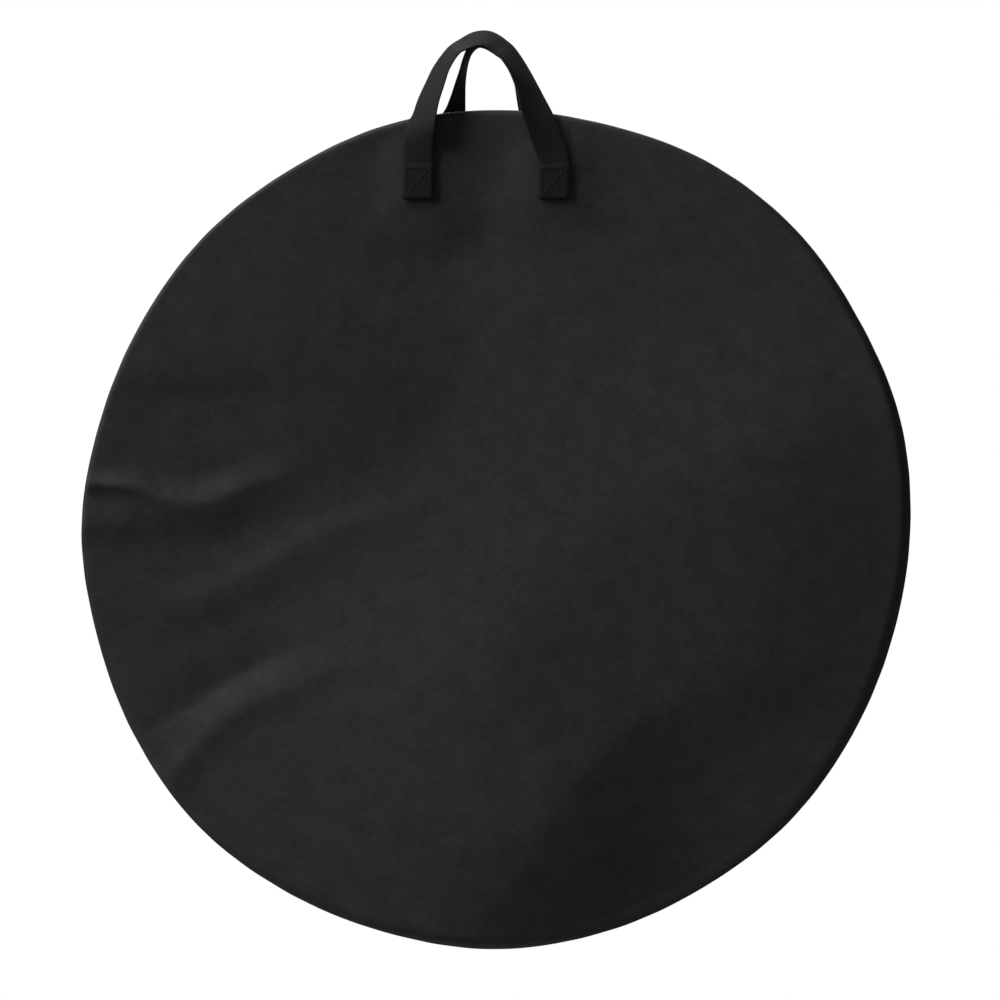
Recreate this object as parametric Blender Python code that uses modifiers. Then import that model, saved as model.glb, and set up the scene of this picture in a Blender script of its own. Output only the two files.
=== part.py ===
"""A round soft bag that carries one bicycle wheel, upright as it hangs from its two webbing handles.

Metres, +Z up, front face towards -Y. The origin is the middle of the flat back, on which the bag also
lies down. Pieces are first made about the middle of the wheel pocket, where the wheel's axle lies along Y,
and then moved forward together. The rear panel, the lower half of the front panel and the lower side wall
are one fixed shell. A half-round zip joins the upper half of the front panel to it, and that half folds
forward about a chord through the middle. Each handle loop swings about the top of its two sewn ends, and
two zip sliders run round the rim.
"""

import math

import bmesh
import bpy
from mathutils import Vector

# Bag
BAG_RADIUS = 0.352
GUSSET_HALF_WIDTH = 0.019  # half the side wall, from the middle plane to a rim seam
SHOULDER_RADIUS = 0.007  # rounding of a panel's edge
CROWN_HEIGHT = 0.006  # how far the flat middle of a panel stands out from its shoulder
FLAT_RADIUS = 0.120  # the flat middle of a panel
SEAM_COLLAR = 0.0015  # straight edge of a panel layer beside its seam
ZIP_RECESS = 0.007  # how deep the zip's valley sinks below the rim
FLAP_AXIS_OUT = 0.001  # how far the flap's fold line stands in front of the front panel

# Cloth, foam and the air between layers
FABRIC_THICKNESS = 0.0008
FOAM_THICKNESS = 0.0030
LINING_THICKNESS = 0.0006
LAYER_GAP = 0.0003
BINDING_WIDTH = 0.008
BINDING_THICKNESS = 0.0025
BINDING_SETBACK = 0.0075  # from the rim to the outer edge of the binding

# Zip
ZIP_HALF_OPENING = 0.0105  # from the middle plane to the folded edge of a zip band
TAPE_THICKNESS = 0.0008
TAPE_UNDERLAP = 0.004  # tape hidden under a band
ROW_GAP = 0.0009  # from the middle plane to a coil row and its tape edge
COIL_WIDTH = 0.0027
COIL_HEIGHT = 0.0018
COIL_END_ANGLE = math.radians(3.0)  # the coil stops this far short of each end of the zip
END_TAB_HALF_WIDTH = 0.0095
END_TAB_THICKNESS = 0.0012
END_TAB_BELOW = 0.016
END_TAB_ABOVE = 0.010

# Zip slider and its pull
SLIDER_LENGTH = 0.012
SLIDER_WIDTH = 0.0094
SLIDER_PLATE = 0.0009
SLIDER_OVER_COIL = 0.0007
SLIDER_UNDER_TAPE = 0.0004
SLIDER_POST_LENGTH = 0.003
SLIDER_POST_WIDTH = 0.0010
SLIDER_SPACING = 0.015  # between the two sliders' middles, along the rim
CROWN_LENGTH = 0.0075
CROWN_WIDTH = 0.0022
CROWN_BAR = 0.0008
CROWN_LEG = 0.0010
CROWN_WINDOW = 0.0016
PULL_THICKNESS = 0.0009
PULL_SIDE_CLEARANCE = 0.0004
PULL_ARM_WIDTH = 0.0013
PULL_END_CLEARANCE = 0.0006
PULL_PLATE_LENGTH = 0.020
PULL_CORNER = 0.0015

# Webbing handles
WEBBING_WIDTH = 0.026
WEBBING_THICKNESS = 0.0018
HANDLE_SPAN = 0.1145  # between the middles of a handle's two ends
HANDLE_SHIFT = -0.0095  # the pair is sewn on this far left of the bag's middle
HANDLE_BELOW_RIM = 0.075  # from the top of the rim down to a sewn end's lower edge
HANDLE_END_HEIGHT = 0.029
HANDLE_END_THICKNESS = 0.0030  # the webbing's end is turned under before it is sewn
HANDLE_END_CORNER = 0.0006
LOOP_RISE = 0.1077  # from a sewn end to the middle line of the loop's top
HANDLE_AXIS_OUT = 0.0010  # how far the hinge line stands in front of the webbing's face
STITCH_WIDTH = 0.0010
STITCH_HEIGHT = 0.0005
STITCH_INSET = 0.0025

# How finely round shapes are divided
PANEL_STEPS = 60
RING_STEPS = 96
SHOULDER_STEPS = 2
LOOP_STEPS = 2
CORNER_STEPS = 3
MERGE_DISTANCE = 0.00001

# Each loop's middle line, from the left end to the right one: across, as a share of HANDLE_SPAN; up, as a
# share of LOOP_RISE; out from the middle plane, as a share of the webbing's distance there; and the
# webbing's turn in degrees.
FRONT_LOOP_SHARES = (
    (-0.500, 0.000, 1.00, 0),
    (-0.493, 0.146, 1.05, 7),
    (-0.472, 0.313, 1.15, 22),
    (-0.445, 0.443, 1.02, 42),
    (-0.402, 0.591, 0.79, 51),
    (-0.336, 0.759, 0.55, 56),
    (-0.240, 0.903, 0.35, 59),
    (-0.127, 0.977, 0.23, 60),
    (-0.004, 1.000, 0.17, 60),
    (0.109, 0.949, 0.20, 60),
    (0.197, 0.833, 0.31, 57),
    (0.271, 0.684, 0.50, 52),
    (0.341, 0.536, 0.74, 46),
    (0.402, 0.406, 1.00, 36),
    (0.459, 0.257, 1.13, 18),
    (0.493, 0.109, 1.05, 5),
    (0.500, 0.000, 1.00, 0),
)
REAR_LOOP_SHARES = (
    (-0.500, 0.000, 1.00, 0),
    (-0.468, 0.146, 1.05, 7),
    (-0.390, 0.313, 1.15, 24),
    (-0.280, 0.461, 1.06, 42),
    (-0.222, 0.601, 0.82, 56),
    (-0.184, 0.740, 0.58, 70),
    (-0.131, 0.861, 0.41, 80),
    (-0.048, 0.940, 0.32, 85),
    (0.048, 0.954, 0.29, 85),
    (0.144, 0.889, 0.34, 82),
    (0.218, 0.768, 0.48, 72),
    (0.279, 0.629, 0.69, 58),
    (0.345, 0.480, 0.94, 44),
    (0.415, 0.331, 1.13, 25),
    (0.476, 0.164, 1.05, 7),
    (0.500, 0.000, 1.00, 0),
)

# Signs along Y and along X
FRONT, REAR = -1, 1
LEFT, RIGHT = -1, 1


def material(name, colour, roughness, metallic=0.0):
    """A plain Principled material of that base colour."""
    made = bpy.data.materials.new(name)
    made.use_nodes = True
    shader = made.node_tree.nodes["Principled BSDF"]
    shader.inputs["Base Color"].default_value = (*colour, 1.0)
    shader.inputs["Roughness"].default_value = roughness
    shader.inputs["Metallic"].default_value = metallic
    return made


def start_scene():
    """Empties the scene and returns the bag's collection and the materials."""
    for obj in list(bpy.data.objects):
        bpy.data.objects.remove(obj, do_unlink=True)
    bag = bpy.data.collections.new("wheel_bag")
    bpy.context.scene.collection.children.link(bag)
    materials = {
        "shell_fabric": material("shell_fabric", (0.018, 0.018, 0.018), 0.85),
        "padding_foam": material("padding_foam", (0.55, 0.55, 0.53), 0.95),
        "lining": material("lining", (0.035, 0.035, 0.037), 0.6),
        "webbing": material("webbing", (0.016, 0.016, 0.016), 0.8),
        "binding": material("binding", (0.014, 0.014, 0.014), 0.8),
        "zip_tape": material("zip_tape", (0.012, 0.012, 0.012), 0.8),
        "zip_coil": material("zip_coil", (0.010, 0.010, 0.010), 0.35),
        "slider_metal": material("slider_metal", (0.03, 0.03, 0.03), 0.35, 0.9),
        "thread": material("thread", (0.020, 0.020, 0.020), 0.7),
    }
    return bag, materials


BAG, MATERIALS = start_scene()


def adopt(obj, name, slot):
    """Names an object, gives it its material and moves it to the bag's collection."""
    obj.name = name
    obj.data.name = name
    obj.data.materials.clear()
    obj.data.materials.append(MATERIALS[slot])
    for collection in list(obj.users_collection):
        collection.objects.unlink(obj)
    BAG.objects.link(obj)
    return obj


def pivot(name, location, turn=(0.0, 0.0, 0.0)):
    """An empty on a joint's axis, which a moving piece hangs from."""
    empty = bpy.data.objects.new(name, None)
    empty.location = location
    empty.rotation_euler = turn
    BAG.objects.link(empty)
    return empty


def carry(objects, empty):
    """Parents pieces to an unturned empty without moving them."""
    for obj in objects:
        obj.parent = empty
        obj.location -= empty.location


def box(low, high):
    """A box between two corners, with its scale applied."""
    low, high = Vector(low), Vector(high)
    bpy.ops.mesh.primitive_cube_add(size=1.0, location=(low + high) / 2)
    obj = bpy.context.active_object
    obj.scale = high - low
    bpy.ops.object.transform_apply(location=True, rotation=False, scale=True)
    return obj


def fuse(first, *others):
    """Joins overlapping meshes into one body and removes the others."""
    for other in others:
        union = first.modifiers.new("union", "BOOLEAN")
        union.operation = "UNION"
        union.solver = "EXACT"
        union.object = other
    graph = bpy.context.evaluated_depsgraph_get()
    joined = bpy.data.meshes.new_from_object(first.evaluated_get(graph))
    first.modifiers.clear()
    first.data = joined
    for other in others:
        bpy.data.objects.remove(other, do_unlink=True)
    return first


def soften(obj, width, segments=1):
    """Rounds an object's edges."""
    bevel = obj.modifiers.new("soft_edges", "BEVEL")
    bevel.width = width
    bevel.segments = segments
    bevel.limit_method = "ANGLE"
    return obj


def flat_piece(name, slot, outlines, thickness):
    """A flat piece from closed outlines in its own XY plane; an outline inside another one is a hole."""
    curve = bpy.data.curves.new(name, "CURVE")
    curve.dimensions = "2D"
    curve.fill_mode = "BOTH"
    curve.extrude = thickness / 2
    for points in outlines:
        spline = curve.splines.new("POLY")
        spline.points.add(len(points) - 1)
        for point, (x, y) in zip(spline.points, points):
            point.co = (x, y, 0.0, 1.0)
        spline.use_cyclic_u = True
    obj = bpy.data.objects.new(name, curve)
    BAG.objects.link(obj)
    return adopt(obj, name, slot)


def turned_sheet(name, slot, profile, thickness, part, steps, short=0.0):
    """A sheet turned about Y, from (radius, y) points on its middle surface.

    part is full, upper or lower. short takes that angle off both ends of a half.
    """
    mesh = bpy.data.meshes.new(name)
    start = math.cos(short), -math.sin(short)
    points = [(radius * start[0], y, radius * start[1]) for radius, y in profile]
    edges = [(i, i + 1) for i in range(len(points) - 1)]
    mesh.from_pydata(points, edges, [])
    obj = bpy.data.objects.new(name, mesh)
    BAG.objects.link(obj)
    adopt(obj, name, slot)
    whole = part == "full"
    turn = obj.modifiers.new("turn", "SCREW")
    turn.axis = "Y"
    turn.angle = math.tau if whole else math.pi - 2 * short
    turn.steps = turn.render_steps = steps if whole else steps // 2
    turn.use_merge_vertices = True
    turn.merge_threshold = MERGE_DISTANCE
    wall = obj.modifiers.new("wall", "SOLIDIFY")
    wall.thickness = thickness
    wall.offset = 0.0
    wall.use_even_offset = True
    if part == "upper":
        obj.rotation_euler = (0.0, math.pi, 0.0)
    if part == "lower":
        obj.location = (0.0, 0.0, -LAYER_GAP)
    return obj


# The panels: outer cloth, foam and lining, each a turned dish


def panel_face(radius):
    """Distance of a panel's outer face from the middle plane, at that radius."""
    shoulder_start = BAG_RADIUS - SHOULDER_RADIUS
    rim_face = GUSSET_HALF_WIDTH + SEAM_COLLAR + SHOULDER_RADIUS
    fall = (radius - FLAT_RADIUS) / (shoulder_start - FLAT_RADIUS)
    return rim_face + CROWN_HEIGHT * (1 - min(max(fall, 0.0), 1.0))


def panel_profile(side, depth):
    """(radius, y) points of a layer whose middle lies that deep under the panel's outer face."""
    shoulder_start = BAG_RADIUS - SHOULDER_RADIUS
    points = [
        (0.0, panel_face(0.0) - depth),
        (FLAT_RADIUS, panel_face(0.0) - depth),
    ]
    bend = SHOULDER_RADIUS - depth
    arc_middle = GUSSET_HALF_WIDTH + SEAM_COLLAR
    for step in range(SHOULDER_STEPS + 1):
        angle = math.pi / 2 * (1 - step / SHOULDER_STEPS)
        points.append((shoulder_start + bend * math.cos(angle), arc_middle + bend * math.sin(angle)))
    points.append((shoulder_start + bend, GUSSET_HALF_WIDTH))
    return [(radius, side * y) for radius, y in points]


def layers():
    """Node suffix, slot, thickness and depth of each layer's middle, from the outside in."""
    foam_top = FABRIC_THICKNESS + LAYER_GAP
    lining_top = foam_top + FOAM_THICKNESS + LAYER_GAP
    return (
        ("outer", "shell_fabric", FABRIC_THICKNESS, FABRIC_THICKNESS / 2),
        ("foam", "padding_foam", FOAM_THICKNESS, foam_top + FOAM_THICKNESS / 2),
        ("lining", "lining", LINING_THICKNESS, lining_top + LINING_THICKNESS / 2),
    )


def laminate_thickness():
    """Outer cloth, foam, lining and the air between them."""
    return FABRIC_THICKNESS + FOAM_THICKNESS + LINING_THICKNESS + 2 * LAYER_GAP


def make_panels():
    """The rear panel whole, and the front panel in its fixed lower and folding upper halves."""
    for suffix, slot, thickness, depth in layers():
        turned_sheet(f"rear_{suffix}_panel", slot, panel_profile(REAR, depth), thickness, "full", PANEL_STEPS)
        for half in ("upper", "lower"):
            name = f"front_{suffix}_{half}"
            turned_sheet(name, slot, panel_profile(FRONT, depth), thickness, half, PANEL_STEPS)


# The side wall: one cloth band below, and two bands with the zip between them above


def valley_radius():
    """Outer face of the side wall's cloth at the bottom of its shallow valley."""
    return BAG_RADIUS - ZIP_RECESS


def make_lower_gusset():
    """The side wall's lower half and its lining."""
    edge = GUSSET_HALF_WIDTH - LAYER_GAP
    for name, slot, thickness, depth in (
        ("lower_gusset", "shell_fabric", FABRIC_THICKNESS, FABRIC_THICKNESS / 2),
        (
            "lower_gusset_lining",
            "lining",
            LINING_THICKNESS,
            FABRIC_THICKNESS + LAYER_GAP + LINING_THICKNESS / 2,
        ),
    ):
        profile = [
            (BAG_RADIUS - depth, -edge),
            (valley_radius() - depth, -ZIP_HALF_OPENING),
            (valley_radius() - depth, ZIP_HALF_OPENING),
            (BAG_RADIUS - depth, edge),
        ]
        turned_sheet(name, slot, profile, thickness, "lower", RING_STEPS)


def make_seam_bindings():
    """Tape round the turned-in seam allowance, lying on the lining just inside each rim."""
    outer = BAG_RADIUS - BINDING_SETBACK
    inner = outer - BINDING_WIDTH
    rim_face = GUSSET_HALF_WIDTH + SEAM_COLLAR + SHOULDER_RADIUS
    level = rim_face - laminate_thickness() - LAYER_GAP - BINDING_THICKNESS / 2
    for name, side, part in (
        ("rear_seam_binding", REAR, "full"),
        ("front_seam_binding_upper", FRONT, "upper"),
        ("front_seam_binding_lower", FRONT, "lower"),
    ):
        profile = [(inner, side * level), (outer, side * level)]
        turned_sheet(name, "binding", profile, BINDING_THICKNESS, part, RING_STEPS)


def tape_face():
    """Outer face of the zip tape, under the folded edge of its band."""
    return valley_radius() - FABRIC_THICKNESS - LAYER_GAP


def coil_top():
    """Outer face of the zip coil."""
    return tape_face() + LAYER_GAP + COIL_HEIGHT


def make_zip_side(word, side):
    """One side of the zip: its cloth band, its tape and its coil row."""
    edge = GUSSET_HALF_WIDTH - LAYER_GAP
    band = [
        (BAG_RADIUS - FABRIC_THICKNESS / 2, side * edge),
        (valley_radius() - FABRIC_THICKNESS / 2, side * ZIP_HALF_OPENING),
    ]
    turned_sheet(f"{word}_zip_band", "shell_fabric", band, FABRIC_THICKNESS, "upper", RING_STEPS)
    tape_middle = tape_face() - TAPE_THICKNESS / 2
    tape = [
        (tape_middle, side * (ZIP_HALF_OPENING + TAPE_UNDERLAP)),
        (tape_middle, side * ROW_GAP),
    ]
    turned_sheet(f"{word}_zip_tape", "zip_tape", tape, TAPE_THICKNESS, "upper", RING_STEPS)
    coil_middle = coil_top() - COIL_HEIGHT / 2
    coil = [
        (coil_middle, side * (ROW_GAP + COIL_WIDTH)),
        (coil_middle, side * ROW_GAP),
    ]
    turned_sheet(
        f"{word}_zip_coil", "zip_coil", coil, COIL_HEIGHT, "upper", RING_STEPS, short=COIL_END_ANGLE
    )


def make_zip_end_tabs():
    """A cloth tab over each end of the zip."""
    inner = valley_radius() + LAYER_GAP
    for word, hand in (("left", LEFT), ("right", RIGHT)):
        near, far = sorted((hand * inner, hand * (inner + END_TAB_THICKNESS)))
        tab = box(
            (near, -END_TAB_HALF_WIDTH, -END_TAB_BELOW),
            (far, END_TAB_HALF_WIDTH, END_TAB_ABOVE),
        )
        adopt(tab, f"{word}_zip_end_tab", "shell_fabric")


# The sliders, modelled at the top of the rim and turned to their places


def slider_heights():
    """Distances from the bag's middle: under plate, its top, over plate, its top, and the crown's top."""
    under_top = tape_face() - TAPE_THICKNESS - SLIDER_UNDER_TAPE
    over_foot = coil_top() + SLIDER_OVER_COIL
    over_top = over_foot + SLIDER_PLATE
    crown_top = over_top + CROWN_WINDOW + CROWN_BAR
    return under_top - SLIDER_PLATE, under_top, over_foot, over_top, crown_top


def make_slider(word, hand):
    """One slider: two plates, the post between the coil rows, and the crown that holds the pull."""
    under_foot, under_top, over_foot, over_top, crown_top = slider_heights()
    half_length, half_width = SLIDER_LENGTH / 2, SLIDER_WIDTH / 2
    over = box((-half_length, -half_width, over_foot), (half_length, half_width, over_top))
    under = box((-half_length, -half_width, under_foot), (half_length, half_width, under_top))
    half_post = SLIDER_POST_WIDTH / 2
    bite = SLIDER_PLATE / 2
    nose = -hand * half_length
    post_ends = sorted((nose, nose + hand * SLIDER_POST_LENGTH))
    post = box((post_ends[0], -half_post, under_top - bite), (post_ends[1], half_post, over_foot + bite))
    half_crown, half_bar = CROWN_LENGTH / 2, CROWN_WIDTH / 2
    bar = box((-half_crown, -half_bar, crown_top - CROWN_BAR), (half_crown, half_bar, crown_top))
    legs = [
        box((low, -half_bar, over_top - bite), (low + CROWN_LEG, half_bar, crown_top - CROWN_BAR / 2))
        for low in (-half_crown, half_crown - CROWN_LEG)
    ]
    slider = fuse(over, post, under, *legs, bar)
    adopt(slider, f"{word}_slider", "slider_metal")
    angle = hand * SLIDER_SPACING / 2 / BAG_RADIUS
    slider.parent = pivot(f"{word}_slider_pivot", (0.0, 0.0, 0.0), (0.0, angle, 0.0))
    swing = pivot(f"{word}_pull_pivot", (0.0, 0.0, over_top + CROWN_WINDOW / 2))
    swing.parent = slider.parent
    make_pull(word, hand).parent = swing


def make_pull(word, hand):
    """The flat pull, lying away from the other slider, with its head bar through the crown's window."""
    half_bar = PULL_THICKNESS / 2
    window = CROWN_WIDTH / 2 + PULL_SIDE_CLEARANCE
    half_width = window + PULL_ARM_WIDTH
    plate_start = CROWN_LENGTH / 2 + PULL_END_CLEARANCE
    plate_end = plate_start + PULL_PLATE_LENGTH
    corner_x, corner_y = plate_end - PULL_CORNER, half_width - PULL_CORNER
    corner = [math.pi / 2 * step / CORNER_STEPS for step in range(CORNER_STEPS + 1)]
    upper = [(corner_x + PULL_CORNER * math.cos(a), corner_y + PULL_CORNER * math.sin(a)) for a in corner]
    lower = [(x, -y) for x, y in reversed(upper)]
    outer = [(-half_bar, -half_width), *lower, *upper, (-half_bar, half_width)]
    hole = [(half_bar, -window), (plate_start, -window), (plate_start, window), (half_bar, window)]
    outlines = [[(hand * x, y) for x, y in points] for points in (outer, hole)]
    return flat_piece(f"{word}_pull", "slider_metal", outlines, PULL_THICKNESS)


# The handles


def handle_end_foot():
    """Height of a sewn end's lower edge."""
    return BAG_RADIUS - HANDLE_BELOW_RIM


def handle_face():
    """Distance from the middle plane to the back of a sewn handle end."""
    nearest_x = HANDLE_SPAN / 2 - abs(HANDLE_SHIFT) - WEBBING_WIDTH / 2
    return panel_face(math.hypot(nearest_x, handle_end_foot())) + LAYER_GAP


def webbing_plane():
    """Distance from the middle plane to the middle of the webbing where a loop starts."""
    return handle_face() + HANDLE_END_THICKNESS - WEBBING_THICKNESS / 2


def loop_foot():
    """Height of a loop's two feet, just above the sewn ends."""
    return handle_end_foot() + HANDLE_END_HEIGHT + LAYER_GAP


def make_handle_ends(word, side):
    """The two sewn ends of a handle, and the box-and-cross of thread on each."""
    back, front = side * handle_face(), side * (handle_face() + HANDLE_END_THICKNESS)
    for hand_word, hand in (("left", LEFT), ("right", RIGHT)):
        middle = HANDLE_SHIFT + hand * HANDLE_SPAN / 2
        low_y, high_y = sorted((back, front))
        end = box(
            (middle - WEBBING_WIDTH / 2, low_y, handle_end_foot()),
            (middle + WEBBING_WIDTH / 2, high_y, handle_end_foot() + HANDLE_END_HEIGHT),
        )
        soften(end, HANDLE_END_CORNER)
        adopt(end, f"{word}_handle_{hand_word}_end", "webbing")
        make_stitching(f"{word}_{hand_word}_stitching", middle, side)


def make_stitching(name, middle, side):
    """A box of thread with a cross in it: a flat outline with four three-cornered holes."""
    half_width = WEBBING_WIDTH / 2 - STITCH_INSET
    half_height = HANDLE_END_HEIGHT / 2 - STITCH_INSET
    inner_width, inner_height = half_width - STITCH_WIDTH, half_height - STITCH_WIDTH
    half_cross = math.hypot(inner_width, inner_height) * STITCH_WIDTH / 2
    gap_x, gap_y = half_cross / inner_height, half_cross / inner_width
    corners = ((-1, -1), (1, -1), (1, 1), (-1, 1))
    outlines = [[(x * half_width, y * half_height) for x, y in corners]]
    for sign in (-1, 1):
        top, edge = sign * inner_height, sign * inner_width
        outlines.append([(gap_x - inner_width, top), (inner_width - gap_x, top), (0.0, sign * gap_y)])
        outlines.append([(edge, gap_y - inner_height), (edge, inner_height - gap_y), (sign * gap_x, 0.0)])
    obj = flat_piece(name, "thread", outlines, STITCH_HEIGHT)
    out = handle_face() + HANDLE_END_THICKNESS + LAYER_GAP + STITCH_HEIGHT / 2
    obj.location = (middle, side * out, handle_end_foot() + HANDLE_END_HEIGHT / 2)
    obj.rotation_euler = (math.pi / 2, 0.0, 0.0)


def cubic(values, t):
    """The value at share t of the way from the second of four evenly spaced values to the third."""
    a, b, c, d = values
    square = (2 * a - 5 * b + 4 * c - d) * t**2
    cube = (3 * b - a - 3 * c + d) * t**3
    return (2 * b + (c - a) * t + square + cube) / 2


def smooth_route(stations, steps):
    """Points on a smooth curve through the stations, that many between each two."""
    made = []
    last = len(stations) - 1
    for i in range(last):
        four = [stations[min(max(i + k, 0), last)] for k in (-1, 0, 1, 2)]
        for step in range(steps):
            made.append([cubic(values, step / steps) for values in zip(*four)])
    made.append(list(stations[last]))
    return made


def loop_stations(shares, side):
    """Each station's middle point and the half-width vector across the webbing."""
    route = smooth_route(shares, LOOP_STEPS)
    middles = [
        Vector((HANDLE_SHIFT + x * HANDLE_SPAN, side * out * webbing_plane(), loop_foot() + up * LOOP_RISE))
        for x, up, out, _ in route
    ]
    stations = []
    for i, (middle, (_, _, _, turn)) in enumerate(zip(middles, route)):
        ahead = middles[min(i + 1, len(middles) - 1)] - middles[max(i - 1, 0)]
        if i in (0, len(middles) - 1):
            ahead = Vector((0.0, 0.0, 1.0 if i == 0 else -1.0))
        outward = Vector((-ahead.z, 0.0, ahead.x)).normalized()
        angle = math.radians(turn)
        across = outward * math.cos(angle) - Vector((0.0, side, 0.0)) * math.sin(angle)
        across = (across - ahead.normalized() * across.dot(ahead.normalized())).normalized()
        stations.append((middle, across * (WEBBING_WIDTH / 2)))
    return stations


def make_loop(name, shares, side):
    """A free loop of webbing, hung from an empty on its hinge line."""
    axis_out = side * (webbing_plane() + WEBBING_THICKNESS / 2 + HANDLE_AXIS_OUT)
    hinge = pivot(f"{name}_pivot", (HANDLE_SHIFT, axis_out, loop_foot() - LAYER_GAP / 2))
    strip = bmesh.new()
    rungs = [
        [strip.verts.new(middle + way * across - hinge.location) for way in (-1, 1)]
        for middle, across in loop_stations(shares, side)
    ]
    for (near, far), (next_near, next_far) in zip(rungs, rungs[1:]):
        strip.faces.new((near, far, next_far, next_near))
    mesh = bpy.data.meshes.new(name)
    strip.to_mesh(mesh)
    strip.free()
    mesh.shade_smooth()
    obj = bpy.data.objects.new(name, mesh)
    BAG.objects.link(obj)
    adopt(obj, name, "webbing")
    wall = obj.modifiers.new("wall", "SOLIDIFY")
    wall.thickness = WEBBING_THICKNESS
    wall.offset = 0.0
    obj.parent = hinge


def hang_flap():
    """Hangs everything that the zip lets go from an empty on the fold line."""
    fold = pivot("front_flap_pivot", (0.0, -panel_face(0.0) - FLAP_AXIS_OUT, 0.0))
    moving = [
        obj
        for obj in BAG.objects
        if obj is not fold and obj.parent is None and obj.name.startswith("front") and "lower" not in obj.name
    ]
    carry(moving, fold)


def set_origin_on_back():
    """Moves the whole bag so that the middle of its flat back is the origin."""
    for obj in BAG.objects:
        if obj.parent is None:
            obj.location.y -= panel_face(0.0)


def main():
    make_panels()
    make_lower_gusset()
    make_seam_bindings()
    make_zip_side("front", FRONT)
    make_zip_side("rear", REAR)
    make_zip_end_tabs()
    make_slider("left", LEFT)
    make_slider("right", RIGHT)
    make_handle_ends("front", FRONT)
    make_handle_ends("rear", REAR)
    make_loop("front_handle_loop", FRONT_LOOP_SHARES, FRONT)
    make_loop("rear_handle_loop", REAR_LOOP_SHARES, REAR)
    hang_flap()
    set_origin_on_back()


main()
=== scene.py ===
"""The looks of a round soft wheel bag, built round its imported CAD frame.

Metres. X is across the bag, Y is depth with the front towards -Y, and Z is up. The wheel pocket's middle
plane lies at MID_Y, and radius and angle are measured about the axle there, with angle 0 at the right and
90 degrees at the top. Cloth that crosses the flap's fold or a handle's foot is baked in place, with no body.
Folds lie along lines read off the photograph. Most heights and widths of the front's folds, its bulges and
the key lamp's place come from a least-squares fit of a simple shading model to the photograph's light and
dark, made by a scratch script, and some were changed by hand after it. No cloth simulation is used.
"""

from math import cos, pi, radians, sin, tau

import bpy
import numpy as np
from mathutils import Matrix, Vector, noise


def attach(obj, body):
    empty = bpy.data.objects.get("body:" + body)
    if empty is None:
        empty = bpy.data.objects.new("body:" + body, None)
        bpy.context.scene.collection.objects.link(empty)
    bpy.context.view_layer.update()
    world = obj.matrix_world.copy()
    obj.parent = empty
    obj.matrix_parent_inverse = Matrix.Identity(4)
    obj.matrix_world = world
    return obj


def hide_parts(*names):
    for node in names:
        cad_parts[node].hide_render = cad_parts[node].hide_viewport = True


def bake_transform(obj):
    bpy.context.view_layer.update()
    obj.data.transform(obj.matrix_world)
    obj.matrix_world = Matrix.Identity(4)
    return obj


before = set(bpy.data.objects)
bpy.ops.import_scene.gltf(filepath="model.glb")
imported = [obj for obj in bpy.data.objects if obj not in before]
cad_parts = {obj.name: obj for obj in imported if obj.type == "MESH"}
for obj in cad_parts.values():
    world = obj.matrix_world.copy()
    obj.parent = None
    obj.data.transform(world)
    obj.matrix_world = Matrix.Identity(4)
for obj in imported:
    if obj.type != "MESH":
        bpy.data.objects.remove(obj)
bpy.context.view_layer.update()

# Photograph
PHOTO_SIZE = 1000  # pixels
PHOTO_MIDDLE = (497.2, 528.5)  # pixels: the bag's middle
PHOTO_SCALE = 0.8464e-3  # metres for a pixel

# Bag
MID_Y = -0.0335
BAG_RADIUS = 0.352
# How far the rim stands out from BAG_RADIUS at each 15 degrees from the right, anticlockwise, in mm. It was
# measured on the photograph's outline by a scratch script and adjusted by hand.
RIM_BULGES = (-3.3, 0.4, 0.6, 4.7, 5.1, 1.5, 1.3, 1.4, -2.2, -2.7, -4.8, -4.5)
RIM_BULGES += (-0.9, -2.1, 0.8, 4.0, 2.5, 1.6, 3.0, 0.5, -2.4, -2.6, -5.1, -5.8)
RIM_PUCKERS = 0.0001
SEAM_OUT, SEAM_WANDER = 0.0194, 0.0004  # from the middle plane to a rim seam, and how far the seam strays
EDGE_OUT = 0.0275  # from the middle plane to a panel's face beside its shoulder
CROWN, CROWN_START, CROWN_END = 0.006, 0.080, 0.345  # the face's rise, and the radii between which it falls
SHOULDER, SHOULDER_VARIES = 0.0085, 0.0044  # how far in from the rim a panel turns over
SHOULDER_LEAST = radians(135)  # where that is least
SHOULDER_RINGS = 8
TUCK = ((0.0009, 0.0004), (0.0035, 0.0005))  # a panel's turned-in edge: in from the rim and under the seam
VALLEY_RADIUS = 0.345  # the side wall's middle

# Where the front falls off to its rim: by how much, from which radius and at which angle
SLACK_DROP, SLACK_START, SLACK_ANGLE = 0.0066, 0.286, radians(-71)
SLACK_NARROW, SLACK_CURVE = 20, 1.5  # powers: how narrow it is, and how it grows towards the rim

# Folds get lower towards the rim, from one radius to the other, by these shares
EASE_START, EASE_END = 0.200, 0.352
PLEATS_EASED, FOLDS_EASED = 0.45, 0.25
# Unevenness of a panel: metres across and metres high
UNEVEN = ((0.110, 0.0004), (0.045, 0.0002), (0.019, 0.00006))

# Layers of a panel: depth of the outer face and thickness
CLOTH = 0.0008
FOAM_DEPTH, FOAM = 0.0017, 0.0018
LINING_DEPTH, LINING = 0.0045, 0.0005
FOAM_INSET = 0.0180  # the foam ends that far inside the rim
RIM_ZONE, ABOVE_SEAM = 0.0080, 0.0007  # where the lining is kept that far above the rim seam
UNDER_CLOTH = 0.0014  # but never nearer than this to the face
PANEL_STEPS = {"front": 190, "rear": 140}
LAYER_STEPS, LINING_RINGS = 130, 4

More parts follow.
